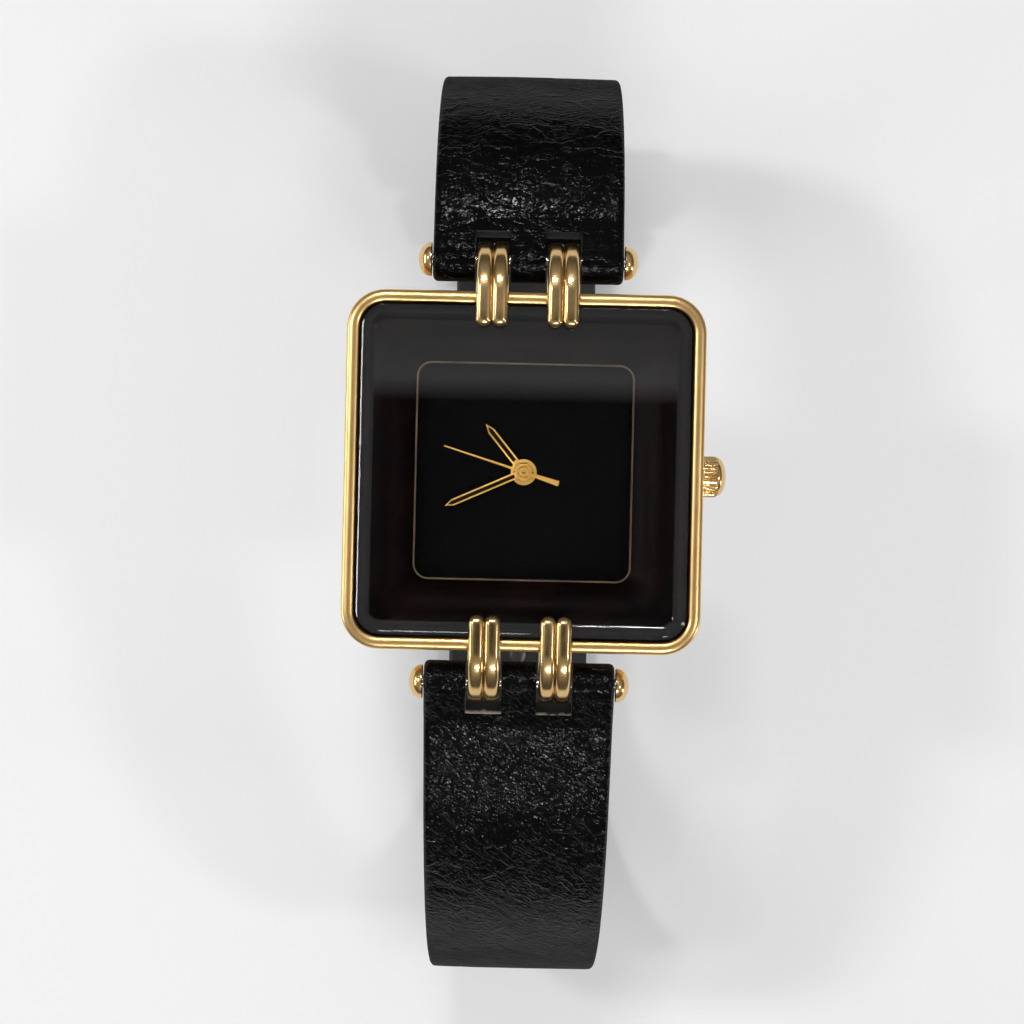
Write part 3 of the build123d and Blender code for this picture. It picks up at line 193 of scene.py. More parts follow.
def bakeModifiers(piece):
    graph = bpy.context.evaluated_depsgraph_get()
    mesh = bpy.data.meshes.new_from_object(piece.evaluated_get(graph), depsgraph=graph)
    piece.modifiers.clear()
    old = piece.data
    piece.data = mesh
    if old.users == 0:
        bpy.data.meshes.remove(old)


def geometryTree(name, inputs):
    # An empty Geometry Nodes tree whose inputs are given as name and kind of socket
    tree = bpy.data.node_groups.new(name, "GeometryNodeTree")
    face = tree.interface
    face.new_socket("Geometry", in_out="INPUT", socket_type="NodeSocketGeometry")
    for label, kind in inputs.items():
        face.new_socket(label, in_out="INPUT", socket_type="NodeSocket" + kind)
    face.new_socket("Geometry", in_out="OUTPUT", socket_type="NodeSocketGeometry")
    return tree, tree.nodes.new("NodeGroupInput").outputs, tree.nodes.new("NodeGroupOutput")


def giveResult(tree, result, copies, finish):
    # The tree's copies become real geometry in one finish
    real = addNode(tree, "GeometryNodeRealizeInstances", Geometry=copies)
    wire(tree, result, Geometry=addNode(tree, "GeometryNodeSetMaterial", Geometry=real, Material=finish))


def grow(piece, tree, values):
    # Run the tree on the piece and keep what it makes as the piece's mesh
    modifier = piece.modifiers.new(tree.name, "NODES")
    modifier.node_group = tree
    for item in tree.interface.items_tree:
        if item.in_out == "INPUT" and item.name in values:
            modifier[item.identifier] = values[item.name]
    bakeModifiers(piece)


def softenedCopy(node, name, width):
    # A copy of a CAD node with its triangles merged and its edges broken by a small bevel
    piece = addPiece(name, cadNodes[node].data.copy())
    with editedMesh(piece.data) as shape:
        bmesh.ops.remove_doubles(shape, verts=shape.verts, dist=2e-6)
        bmesh.ops.dissolve_limit(shape, angle_limit=radians(2), verts=shape.verts, edges=shape.edges)
    bevel = piece.modifiers.new("edges", "BEVEL")
    bevel.width = width * mm
    bevel.segments = 3
    bevel.limit_method = "ANGLE"
    bevel.angle_limit = radians(25)
    bakeModifiers(piece)
    sharpEdges(piece, 40)
    return piece


def polishedGold(name, colour, deep, roughness, scratch=0.05, wear=0.5):
    # Plated metal: two tones of gold, fine rub marks and a soft uneven polish
    material, tree, shader = shaderTree(name)
    place = objectPlace(tree)
    cloud = noiseOf(tree, place, 260, 5, 0.6)
    rub = noiseOf(tree, objectPlace(tree, (1, 0.06, 1), (0, 0, 0.5)), 9000, 3, 0.7)
    fine = noiseOf(tree, place, 5200, 3, 0.6)
    worn = combine(tree, "MULTIPLY", rub, cloud)
    wire(tree, shader, Metallic=1, Base_Color=ramp(tree, cloud, [(0.3, deep), (0.7, colour)]),
         Roughness=rangeOf(tree, worn, 0.15, 0.42, roughness, roughness + scratch + 0.1 * wear),
         Normal=bumpOf(tree, fine, 0.008, 0.00002))
    return material


def brushedMetal(name, colour, deep, roughness, stretch=(0.03, 1, 1)):
    # Metal with a drawn grain along the axis that the stretch makes long
    material, tree, shader = shaderTree(name)
    lines = noiseOf(tree, objectPlace(tree, stretch), 7000, 4, 0.65)
    cloud = noiseOf(tree, objectPlace(tree), 300, 4, 0.5)
    wire(tree, shader, Metallic=1, Base_Color=ramp(tree, cloud, [(0.25, deep), (0.75, colour)]),
         Roughness=rangeOf(tree, lines, 0.3, 0.7, roughness - 0.08, roughness + 0.12),
         Normal=bumpOf(tree, lines, 0.12, 0.00002))
    return material


def mouldedSurface(name, colour, deep, roughness, grain, bump, gloss=0.5):
    # Plastic, rubber, lacquer or print: slight colour drift and a fine grain
    material, tree, shader = shaderTree(name)
    place = objectPlace(tree)
    cloud = noiseOf(tree, place, 350, 4, 0.5)
    fine = noiseOf(tree, place, grain, 3, 0.6)
    wire(tree, shader, Base_Color=ramp(tree, cloud, [(0.3, deep), (0.7, colour)]), Specular_IOR_Level=gloss,
         Roughness=rangeOf(tree, fine, 0.3, 0.7, roughness - 0.05, roughness + 0.07),
         Normal=bumpOf(tree, fine, bump, 0.00003))
    return material


def strapMap(tree):
    # The strap's own map: millimetres across and along it
    return addNode(tree, "ShaderNodeUVMap", {"uv_map": "strap"})


def blackLeather(name, look):
    # Creased patent leather
    material, tree, shader = shaderTree(name)
    own = strapMap(tree)
    drift = addNode(tree, "ShaderNodeTexNoise", Vector=own, Scale=look["wanderScale"], Detail=3)
    shove = addNode(tree, "ShaderNodeVectorMath", {"operation": "SCALE"}, drift.outputs["Color"],
                    Scale=look["wander"])
    moved = addNode(tree, "ShaderNodeVectorMath", {"operation": "ADD"}, own, shove)
    laid = addNode(tree, "ShaderNodeMapping", {"vector_type": "TEXTURE"}, Vector=moved,
                   Rotation=(0, 0, look["lean"]), Scale=(look["long"], 1, 1))
    # Long cracks between flat plates, broken off here and there
    network = addNode(tree, "ShaderNodeTexVoronoi", {"feature": "DISTANCE_TO_EDGE"}, Vector=laid,
                      Scale=look["plates"])
    cracks = rangeOf(tree, network.outputs["Distance"], 0, look["crackWidth"], 1, 0)
    gate = rangeOf(tree, noiseOf(tree, laid, 1.1, 3, 0.6), 0.42, 0.58)
    # Short streaks in patches, finer than the cracks
    fine = noiseOf(tree, laid, look["streaks"], 2, 0.6, 0.6)
    streaks = ramp(tree, fine, [(0.42, 0), (0.56, 0.25), (0.66, 1), (0.72, 0.4)])
    patches = rangeOf(tree, noiseOf(tree, laid, look["patches"], 3, 0.55), look["patchStart"],
                      look["patchStart"] + 0.2, look["patchLow"], 1)
    pores = noiseOf(tree, laid, look["pores"], 1, 0.5, 0.4)
    grain = bumpOf(tree, rangeOf(tree, pores, 0.3, 0.7), look["poreBump"], 0.00003)
    streaked = bumpOf(tree, combine(tree, "MULTIPLY", streaks, patches), look["streakBump"], 0.00003, grain)
    cracked = bumpOf(tree, combine(tree, "MULTIPLY", cracks, gate), look["crackBump"], 0.00005, streaked)
    # Uneven polish, and the grain hides the gloss where the leather is seen from the side
    cloud = noiseOf(tree, own, 0.35, 3, 0.5)
    polish = rangeOf(tree, cloud, 0.3, 0.7, look["rough"] - 0.03, look["rough"] + 0.06)
    facing = addNode(tree, "ShaderNodeLayerWeight", Blend=0.5).outputs["Facing"]
    side = rangeOf(tree, facing, 0.3, 0.75, 0, look["sideRough"])
    wire(tree, shader, Normal=cracked, Roughness=combine(tree, "ADD", polish, side),
         Specular_IOR_Level=look["gloss"],
         Base_Color=ramp(tree, pores, [(0.25, (0.0006, 0.0006, 0.0007)), (0.8, (0.0026, 0.0026, 0.0031))]))
    return material


def cutLeather(name, rim, deep):
    # A cut through the strap: a torn rim of raw leather at the outer face, and painted shade below it that
    # darkens the cut with depth. The strap's map runs down the cut
    material, tree, shader = shaderTree(name)
    down = addNode(tree, "ShaderNodeSeparateXYZ", Vector=strapMap(tree)).outputs["X"]
    torn = noiseOf(tree, objectPlace(tree), 2300, 4, 0.65)
    # Painted shade: the colour runs from the rim colour at the outer face to the deep colour further down
    # into the slot or hole
    depth = rangeOf(tree, combine(tree, "MULTIPLY_ADD", torn, 24, down), 11, 21)
    wire(tree, shader, Base_Color=ramp(tree, depth, [(0, rim), (1, deep)]), Roughness=0.75,
         Specular_IOR_Level=0.25, Normal=bumpOf(tree, torn, 0.9, 0.00005))
    return material


def clearCrystal(name):
    # Clear glass whose shadow rays pass, with the faintest smoke and polish marks
    material, tree, shader = shaderTree(name)
    smear = noiseOf(tree, objectPlace(tree), 170, 4, 0.5)
    wire(tree, shader, Roughness=rangeOf(tree, smear, 0.35, 0.75, 0, 0.006), Transmission_Weight=1, IOR=1.52,
         Base_Color=ramp(tree, smear, [(0.3, (0.93, 0.94, 0.95)), (0.7, (0.97, 0.97, 0.98))]))
    clear = addNode(tree, "ShaderNodeBsdfTransparent", Color=(0.92, 0.92, 0.92, 1))
    layOver(tree, shader, clear, addNode(tree, "ShaderNodeLightPath").outputs["Is Shadow Ray"])
    return material


def coiledWire(name):
    # Enamelled copper wound across the coil
    material, tree, shader = shaderTree(name)
    turns = addNode(tree, "ShaderNodeTexWave", {"wave_type": "BANDS", "bands_direction": "X"},
                    Vector=objectPlace(tree), Scale=9000, Distortion=0.4, Detail=1).outputs["Fac"]
    wire(tree, shader, Base_Color=ramp(tree, turns, [(0.1, (0.12, 0.03, 0.01)), (0.7, (0.55, 0.2, 0.07))]),
         Normal=bumpOf(tree, turns, 0.6, 0.00003), Metallic=1, Roughness=0.3)
    return material


def printedBoard(name):
    # Lacquered circuit board with copper runs under the lacquer
    material, tree, shader = shaderTree(name)
    cells = addNode(tree, "ShaderNodeTexVoronoi", {"distance": "MANHATTAN", "feature": "F1"},
                    Vector=objectPlace(tree), Scale=900, Randomness=0.6).outputs["Distance"]
    wire(tree, shader, Normal=bumpOf(tree, cells, 0.2, 0.00003), Roughness=0.35,
         Base_Color=ramp(tree, cells, [(0.32, (0.02, 0.12, 0.05)), (0.4, (0.05, 0.26, 0.12))]))
    return material


caseGold = polishedGold("case gold", (0.78, 0.52, 0.24), (0.71, 0.46, 0.19), 0.19, 0.04, 0.2)
bezelGold = polishedGold("bezel gold", (0.80, 0.53, 0.23), (0.74, 0.47, 0.18), 0.29, 0.03, 0.1)
lugGold = polishedGold("lug gold", (0.78, 0.55, 0.26), (0.60, 0.39, 0.16), 0.16, 0.06)
handGold = polishedGold("hand gold", (0.88, 0.53, 0.14), (0.74, 0.41, 0.08), 0.34)
lineGold = polishedGold("printed gilt", (0.12, 0.088, 0.055), (0.06, 0.045, 0.03), 0.45, 0.1)
plateBrass = brushedMetal("movement brass", (0.78, 0.62, 0.34), (0.66, 0.50, 0.25), 0.28)
satinSteel = brushedMetal("satin steel", (0.62, 0.62, 0.63), (0.50, 0.50, 0.52), 0.26)
cellSteel = brushedMetal("cell steel", (0.74, 0.74, 0.74), (0.64, 0.64, 0.65), 0.16, (1, 0.03, 1))
copperWire = coiledWire("copper winding")
greenBoard = printedBoard("circuit lacquer")
holderPlastic = mouldedSurface("holder plastic", (0.82, 0.82, 0.78), (0.74, 0.74, 0.70), 0.5, 2500, 0.15)
sealRubber = mouldedSurface("seal rubber", (0.02, 0.02, 0.02), (0.012, 0.012, 0.012), 0.65, 3500, 0.25, 0.2)
blackPrint = mouldedSurface("black print", (0.004, 0.0012, 0.0009), (0.0008, 0.0007, 0.0007), 0.4, 2200, 0,
                            0.03)
dialLacquer = mouldedSurface("dial lacquer", (0.0012, 0.0011, 0.0011), (0.0007, 0.0007, 0.0007), 0.4, 4200, 0,
                             0.04)
slotLacquer = mouldedSurface("hand lacquer", (0.004, 0.003, 0.002), (0.002, 0.0015, 0.001), 0.35, 5200, 0,
                             0.1)
liningLeather = mouldedSurface("lining leather", (0.016, 0.015, 0.014), (0.008, 0.0075, 0.007), 0.55, 2600,
                               0.3)
# The first colour of each cut edge is the raw rim; the second is painted shade down the cut
paleEdge = cutLeather("pale cut edge", (0.50, 0.46, 0.40), (0.008, 0.007, 0.007))
darkEdge = cutLeather("dark cut edge", (0.06, 0.055, 0.05), (0.004, 0.004, 0.004))
crystalGlass = clearCrystal("crystal glass")

baseLook = {"crackBump": 1, "pores": 5, "rough": 0.1, "sideRough": 0.6}
upperLook = {**baseLook, "lean": 0.08, "long": 3.5, "wanderScale": 0.22, "wander": 3.2, "plates": 0.75,
             "crackWidth": 0.05, "streaks": 3, "streakBump": 0.6, "patches": 0.6, "patchStart": 0.42,
             "patchLow": 0.2, "poreBump": 0.75, "gloss": 0.09}
lowerLook = {**baseLook, "lean": 0.66, "long": 2.4, "wanderScale": 0.3, "wander": 1.6, "plates": 1,
             "crackWidth": 0.07, "streaks": 3.2, "streakBump": 0.9, "patches": 0.7, "patchStart": 0.34,
             "patchLow": 0.35, "poreBump": 0.9, "gloss": 0.13}
keeperLook = {**upperLook, "long": 2, "streakBump": 0.4, "rough": 0.2}
upperLeather = blackLeather("upper strap leather", upperLook)
lowerLeather = blackLeather("lower strap leather", lowerLook)
keeperLeather = blackLeather("keeper leather", keeperLook)

# Every CAD node gets its finish, also where a piece of the scene takes its place
finishes = {
    caseGold: "case_middle bezel crown lower_bar_caps upper_bar_caps buckle_frame buckle_tongue",
    lugGold: "lug_upper_left lug_upper_right lug_lower_left lug_lower_right",
    handGold: "hour_hand minute_hand second_hand",
    lineGold: "window_line",
    slotLacquer: "hour_hand_fill minute_hand_fill",
    plateBrass: "main_plate train_bridge centre_wheel fourth_wheel third_wheel fifth_wheel minute_wheel "
                "hour_wheel setting_wheel",
    satinSteel: "case_back case_screws lug_screws upper_bar lower_bar buckle_bar crown_tube stem clutch "
                "setting_lever yoke movement_screws stator coil_core rotor battery_clamp",
    cellSteel: "battery quartz_can",
    copperWire: "coil",
    greenBoard: "circuit_board",
    holderPlastic: "movement_holder",
    crystalGlass: "crystal",
    blackPrint: "crystal_mask",
    dialLacquer: "dial",
    keeperLeather: "strap_upper strap_lower fixed_keeper free_keeper",
    sealRubber: "back_gasket crystal_gasket crown_gasket",
}
for finish, names in finishes.items():
    for name in names.split():
        paint(cadNodes[name], finish)
print("watch: finishes on all CAD nodes")


# Centre of a strap bar from the middle of the watch, mm as in the CAD
barReach, barHeight = 15.55, 4.0

# Strap: two halves round their bars, with slots for the hoops
strapSizes = {
    "thickness": 1.8, "barrel": 1.6, "wedge": 3.1, "width": 14.0, "endWidth": 12.0, "floor": -42.3438,
    "slotPlace": 2.6, "slotHalf": 1.325, "slotReach": 2.0, "holeRadius": 0.8,
    "cell": 0.2,  # mesh cell along and across
    "edge": 0.4,  # rounding of the long edges
    "calmEdge": 0.8,  # creases fade this near the long edges
    "liningShift": 40,  # keeps the lining apart on the strap's map
}
upperHalf = {
    "name": "upperStrap", "side": 1, "slope": 8,
    "runs": [(3.2, 13.0, 82), (12.125, 20.0, 90), (1.11, 0, 0)],  # straight, then radius and turn
    "tongueSlot": (0.65, 2.6),  # half width and reach from the end
    "holes": [], "tip": 0,
    "folds": {"lean": 0, "depth": 0.07, "wander": (0.13, 0.10, 3.1), "reach": 2.2,
              "long": (0.09, 0.62, 7.7), "short": (0.22, 1.5, 1.3), "shortReach": 1.5,
              "swell": (0.16, 0.30, 5.5)},
}
lowerHalf = {
    "name": "lowerStrap", "side": -1, "slope": 22,
    "runs": [(8.97, 24.4, 68), (0, 19.461, 90), (18.65, 0, 0)],
    "tongueSlot": None,
    "holes": [9.0 + 5.5 * index for index in range(6)],  # from the tip
    "tip": 6.0,
    "folds": {"lean": 0.68, "depth": 0.06, "wander": (0.12, 0.12, 2.2), "reach": 1.8,
              "long": (0.12, 0.72, 4.4), "short": (0.30, 1.7, 8.3), "shortReach": 1,
              "swell": (0.15, 0.2, 6.5)},
}


def pathPoint(half, distance):
    # Place in the YZ plane, as a complex number, and heading at a distance from the bar
    place, heading = complex(barReach, barHeight), -half["slope"]
    for straight, radius, turn in half["runs"]:
        step = min(distance, straight)
        place += rect(step, radians(heading))
        distance -= step
        if distance <= 0:
            return place, heading
        arc = min(distance, radius * radians(turn))
        hub = place - rect(radius, radians(heading + 90))
        heading -= degrees(arc / radius) if radius else 0
        place = hub + rect(radius, radians(heading + 90))
        distance -= arc
        if distance <= 1e-9:
            return place, heading
    return place + rect(distance, radians(heading)), heading


def spread(low, high, cell, marks):
    # Places from low to high about a cell apart, with every mark among them
    stops = sorted({low, high, *[mark for mark in marks if low < mark < high]})
    places = [low]
    for first, last in zip(stops, stops[1:]):
        count = max(1, round((last - first) / cell))
        places += [first + (last - first) * index / count for index in range(1, count + 1)]
    return places


def gauss(value, width):
    return exp(-(value / width) ** 2)


def noiseAt(across, along, row):
    return noise.noise((across * row[0], along * row[1], row[2]))


def creases(folds, across, along):
    # Long wavy folds laid at a lean, over a finer broken surface
    lean = folds["lean"]
    p, q = across * cos(lean) + along * sin(lean), along * cos(lean) - across * sin(lean)
    wander = noiseAt(p, q, folds["wander"]) * folds["reach"]
    long = noiseAt(p, q + wander, folds["long"])
    short = noiseAt(p, q + folds["shortReach"] * wander, folds["short"])
    swell = noiseAt(across, along, folds["swell"])
    return 0.03 * swell - folds["depth"] * gauss(long, 0.035) - 0.02 * gauss(short, 0.05)


def buildStrap(half, leather, cutEdge):
    # One strap half as a closed mesh: outer and inner faces share their stations, and gaps get walls
    s, side = strapSizes, half["side"]
    total = sum(straight + radius * radians(turn) for straight, radius, turn in half["runs"])
    halfWidth, edge = s["width"] / 2, s["edge"]
    skin, lining, cut = range(3)
    marks = [s["slotReach"]]
    columnMarks = [s["slotPlace"] - s["slotHalf"], s["slotPlace"] + s["slotHalf"]]
    columnMarks += [halfWidth - edge * share for share in (1, 0.6, 0.3, 0.1)]
    if half["tongueSlot"]:
        marks.append(total - half["tongueSlot"][1])
        columnMarks.append(half["tongueSlot"][0])
    alongs = spread(0, total, s["cell"], marks)
    acrosses = spread(-halfWidth, halfWidth, s["cell"], columnMarks + [-mark for mark in columnMarks])
    lastStation, lastColumn = len(alongs) - 1, len(acrosses) - 1
    holePlaces = [total - distance for distance in half["holes"]]

    def missing(i, j):
        # Whether a cell lies in a slot or a hole
        along, across = (alongs[i] + alongs[i + 1]) / 2, (acrosses[j] + acrosses[j + 1]) / 2
        if along < s["slotReach"] and abs(abs(across) - s["slotPlace"]) < s["slotHalf"]:
            return True
        if half["tongueSlot"]:
            slotHalf, reach = half["tongueSlot"]
            return along > total - reach and abs(across) < slotHalf
        corners = [(alongs[a], acrosses[c]) for a in (i, i + 1) for c in (j, j + 1)]
        return any(all(hypot(a - place, c) < s["holeRadius"] for a, c in corners) for place in holePlaces)

    gone = [[missing(i, j) for j in range(lastColumn)] for i in range(lastStation)]

    def present(i, j):
        return 0 <= i < lastStation and 0 <= j < lastColumn and not gone[i][j]

    def laidPlace(i, j):
        # Across and along, pushed on to the rim of a hole or drawn back to the rounded tip
        across, along = acrosses[j], alongs[i]
        for place in holePlaces:
            reach = hypot(along - place, across)
            if 1e-6 < reach < s["holeRadius"]:
                grown = s["holeRadius"] / reach
                across, along = across * grown, place + (along - place) * grown
        start = total - half["tip"] - 2
        if half["tip"] and along > start:
            share = min(abs(across) / halfWidth, 1)
            end = total - half["tip"] * (1 - sqrt(max(1 - share * share, 0)))
            along = start + (along - start) * (end - start) / (total - start)
        return across, along

    def edgeLoss(i, j):
        # How much thickness the rounded edges take away here
        gap = halfWidth - abs(acrosses[j])
        if half["tip"]:
            gap = min(gap, alongs[-1] - alongs[i])
        return edge - sqrt(max(edge ** 2 - max(edge - gap, 0) ** 2, 0))

    def halfThickness(along):
        share = min(max(along / s["wedge"], 0), 1)
        return s["barrel"] + (s["thickness"] / 2 - s["barrel"]) * share

    def widthShare(z):
        share = (barHeight - z) / (barHeight - s["floor"])
        return 1 + (s["endWidth"] / s["width"] - 1) * min(max(share, 0), 1)

    vertices, mapPlaces = [], []

    def addVertex(across, place, mapped):
        y, z = place.real, place.imag
        vertices.append((across * widthShare(z) * mm, side * y * mm, z * mm))
        mapPlaces.append(mapped)
        return len(vertices) - 1

    outer, inner = [], []
    for i in range(lastStation + 1):
        outerRow, innerRow = [], []
        for j in range(lastColumn + 1):
            across, along = laidPlace(i, j)
            place, heading = pathPoint(half, along)
            out = rect(1, radians(heading + 90))
            thick = halfThickness(along) - edgeLoss(i, j)
            calm = min((halfWidth - abs(across)) / s["calmEdge"], 1)
            lift = creases(half["folds"], across, along) * max(calm, 0.15) - 0.05 * (across / halfWidth) ** 2
            outerRow.append(addVertex(across, place + (thick + min(lift, 0.06)) * out, (across, along)))
            innerRow.append(addVertex(across, place - thick * out, (across + s["liningShift"], along)))
        outer.append(outerRow)
        inner.append(innerRow)

    def roundEnd(centre, heading, radius, first, station, sign):
        # Rows that carry the leather round an end, from the outer face to the inner one
        count = max(6, round(pi * radius / s["cell"]))
        rows = [outer[station]]
        for step in range(1, count):
            angle = radians(heading + 90 + sign * 180 * step / count)
            travelled = first - sign * pi * radius * step / count
            row = []
            for j, across in enumerate(acrosses):
                calm = min((halfWidth - abs(across)) / s["calmEdge"], 1)
                lift = creases(half["folds"], across, travelled) * calm * 0.6
                reach = radius - edgeLoss(station, j) + min(lift, 0.04) * (1 - step / count)
                row.append(addVertex(across, centre + rect(reach, angle), (across, travelled)))
            rows.append(row)
        rows.append(inner[station])
        return rows

    barrel = roundEnd(*pathPoint(half, 0), s["barrel"], 0, 0, 1)
    endRows = None
    if not half["tip"]:
        endRows = roundEnd(*pathPoint(half, total), s["thickness"] / 2, total, lastStation, -1)

    faces, kinds = [], []

    def addFace(corners, kind):
        faces.append(corners)
        kinds.append(kind)

    def addSideWalls(i, j, wallAt):
        # Walls where a cell has no neighbour across: leather at the long edges, cut at slots and holes
        for column, neighbour in ((j, j - 1), (j + 1, j + 1)):
            if not present(i, neighbour):
                addFace(wallAt(column), cut if 0 <= neighbour < lastColumn else skin)

    for i in range(lastStation):
        for j in range(lastColumn):
            if gone[i][j]:
                continue
            addFace([outer[i][j], outer[i][j + 1], outer[i + 1][j + 1], outer[i + 1][j]], skin)
            addFace([inner[i][j], inner[i + 1][j], inner[i + 1][j + 1], inner[i][j + 1]], lining)
            addSideWalls(i, j, lambda k: [outer[i][k], outer[i + 1][k], inner[i + 1][k], inner[i][k]])
            for station, neighbour in ((i, i - 1), (i + 1, i + 1)):
                rolled = neighbour < 0 or (neighbour >= lastStation and endRows)
                if not present(neighbour, j) and not rolled:
                    over, under = outer[station], inner[station]
                    addFace([over[j], over[j + 1], under[j + 1], under[j]],
                            skin if neighbour >= lastStation else cut)
    for rows, i in ((barrel, 0), (endRows, lastStation - 1)):
        for j in range(lastColumn):
            if rows and present(i, j):
                for low, high in zip(rows, rows[1:]):
                    addFace([low[j], low[j + 1], high[j + 1], high[j]], skin)
                addSideWalls(i, j, lambda k: [row[k] for row in rows])

    piece = meshPiece(half["name"], vertices, faces, leather)
    mesh = piece.data
    for material in (liningLeather, cutEdge):
        mesh.materials.append(material)
    mesh.polygons.foreach_set("material_index", kinds)
    layer = mesh.uv_layers.new(name="strap")
    for loop in mesh.loops:
        layer.data[loop.index].uv = mapPlaces[loop.vertex_index]
    with editedMesh(mesh) as shape:
        loose = [vertex for vertex in shape.verts if not vertex.link_faces]
        bmesh.ops.delete(shape, geom=loose, context="VERTS")
        bmesh.ops.recalc_face_normals(shape, faces=shape.faces)
    sharpEdges(piece, 50)
    return piece


upperStrap = buildStrap(upperHalf, upperLeather, darkEdge)
finishPiece(upperStrap, "upper_half", "black_leather", "strap_upper")
lowerStrap = buildStrap(lowerHalf, lowerLeather, paleEdge)
finishPiece(lowerStrap, "lower_half", "black_leather", "strap_lower")
print("watch: strap halves,", len(upperStrap.data.polygons), "and", len(lowerStrap.data.polygons), "faces")


def joinPieces(pieces, name):
    # One mesh from several of the same finish
    mesh = bpy.data.meshes.new(name)
    mesh.materials.append(pieces[0].data.materials[0])
    with editedMesh(mesh) as shape:
        for piece in pieces:
            shape.from_mesh(piece.data)
            bpy.data.objects.remove(piece)
        for face in shape.faces:
            face.material_index = 0
    whole = addPiece(name, mesh)
    outwardNormals(whole)
    return whole


def loftPiece(name, loops, material, capped):
    # Skin over loops of equal length, capped at both ends or closed back on itself
    count, rows = len(loops[0]), len(loops)
    faces = []
    for row in range(rows - 1 if capped else rows):
        first, last = row * count, (row + 1) % rows * count
        for k in range(count):
            after = (k + 1) % count
            faces.append((first + k, first + after, last + after, last + k))
    if capped:
        faces += [tuple(range(count)), tuple((rows - 1) * count + k for k in range(count))]
    piece = meshPiece(name, [point for loop in loops for point in loop], faces, material)
    outwardNormals(piece)
    return piece


def squareLoop(half, corner, z, steps=10, sideSteps=12):
    # A square with round corners at one height, from one corner and side that are turned by quarters
    middle = complex(half - corner, half - corner)
    arc = [middle + rect(corner, radians(90 * step / steps)) for step in range(steps + 1)]
    start, end = arc[-1], complex(corner - half, half)
    side = [start + (end - start) * step / sideSteps for step in range(1, sideSteps)]
    places = [place * 1j ** quarter for quarter in range(4) for place in arc + side]
    return [(mm * place.real, mm * place.imag, mm * z) for place in places]


def squareLathe(name, profile, sizes, material, capped=False, sharp=35):
    # Round-cornered square loops through a profile of half sides and heights
    loops = [squareLoop(half, max(sizes["corner"] - (sizes["half"] - half), 0.25), z) for half, z in profile]
    piece = loftPiece(name, loops, material, capped)
    sharpEdges(piece, sharp)
    return piece


def turned(name, profile, centre, material, steps):
    # A body of revolution about X through the centre, from places along it and radii
    angles = [2 * pi * step / steps for step in range(steps)]
    loops = [[tuple(mm * (a + b) for a, b in zip(centre, (along, radius * cos(angle), radius * sin(angle))))
              for angle in angles] for along, radius in profile]
    piece = loftPiece(name, loops, material, True)
    sharpEdges(piece, 40)
    return piece


def arcProfile(centre, radii, start, end, steps):
    # Points on an ellipse, as places for a profile
    angles = [radians(start + (end - start) * step / steps) for step in range(steps + 1)]
    return [(centre[0] + radii[0] * cos(angle), centre[1] + radii[1] * sin(angle)) for angle in angles]


# Bezel: a half-round band over the flange of the crystal
bezelSizes = {"half": 13.15, "corner": 2.8, "opening": 12.15, "top": 6.2, "bottom": 4.15, "caseHalf": 12.3,
              "flangeHalf": 12.55, "flangeBottom": 4.85, "flangeTop": 5.5, "round": 0.5, "dome": 0.3}


def bezelProfile():
    s = bezelSizes
    foot = [(s["half"] - 0.05, s["bottom"]), (s["half"], s["bottom"] + 0.05)]
    band = arcProfile((s["half"] - s["round"], s["top"] - s["dome"]), (s["round"], s["dome"]), 0, 180, 24)
    inside = [(s["opening"], s["flangeTop"] + 0.02), (s["opening"] + 0.02, s["flangeTop"]),
              (s["flangeHalf"], s["flangeTop"]), (s["flangeHalf"], s["flangeBottom"]),
              (s["caseHalf"], s["flangeBottom"]), (s["caseHalf"], s["bottom"])]
    return foot + band + inside


bezelBand = squareLathe("bezelBand", bezelProfile(), bezelSizes, bezelGold)
finishPiece(bezelBand, "head", "polished_gold", "bezel")

# Crystal: a raised block with a bevel, each edge just broken
crystalSizes = {"half": 12.05, "corner": 1.75, "flangeHalf": 12.5, "bottom": 5.17, "flangeTop": 5.49,
                "shoulder": 6.45, "top": 6.9, "bevel": 0.95, "edge": 0.045}


def crystalProfile():
    s = crystalSizes
    half, shoulder, edge = s["half"], s["shoulder"], s["edge"]
    return [(s["flangeHalf"], s["bottom"]), (s["flangeHalf"], s["flangeTop"]), (half, s["flangeTop"]),
            (half, shoulder - 1.6 * edge), (half - 0.4 * edge, shoulder - 0.9 * edge),
            (half - 6 * edge, shoulder + 2.8 * edge), (half - s["bevel"] + edge, s["top"] - 0.5 * edge),
            (half - s["bevel"] - edge, s["top"])]


crystalBlock = squareLathe("crystalBlock", crystalProfile(), crystalSizes, crystalGlass, True, 12)
finishPiece(crystalBlock, "head", "crystal_glass", "crystal")

# Black print: a film under the crystal, open at the window, and a band up the crystal's side below the bevel
printSizes = {"window": 7.98, "windowCorner": 1.13, "flange": 12.44, "flangeCorner": 2.1, "bottom": 5.152,
              "top": 5.16, "gap": 0.01, "thickness": 0.04, "footGap": 0.015, "topGap": 0.06}


def printFilm():
    s = printSizes
    window, flange = (s["window"], s["windowCorner"]), (s["flange"], s["flangeCorner"])
    places = ((window, s["top"]), (flange, s["top"]), (flange, s["bottom"]), (window, s["bottom"]))
    return loftPiece("printFilm", [squareLoop(*square, z) for square, z in places], blackPrint, False)


def sidePrint():
    s = printSizes
    low, high = crystalSizes["flangeTop"] + s["footGap"], crystalSizes["shoulder"] - s["topGap"]
    near = crystalSizes["half"] + s["gap"]
    far = near + s["thickness"]
    profile = [(far, low), (far, high), (near, high), (near, low)]
    return squareLathe("sidePrint", profile, crystalSizes, blackPrint)


crystalPrint = joinPieces([printFilm(), sidePrint()], "crystalPrint")
finishPiece(crystalPrint, "head", "black_print", "crystal_mask")
print("watch: bezel and crystal")


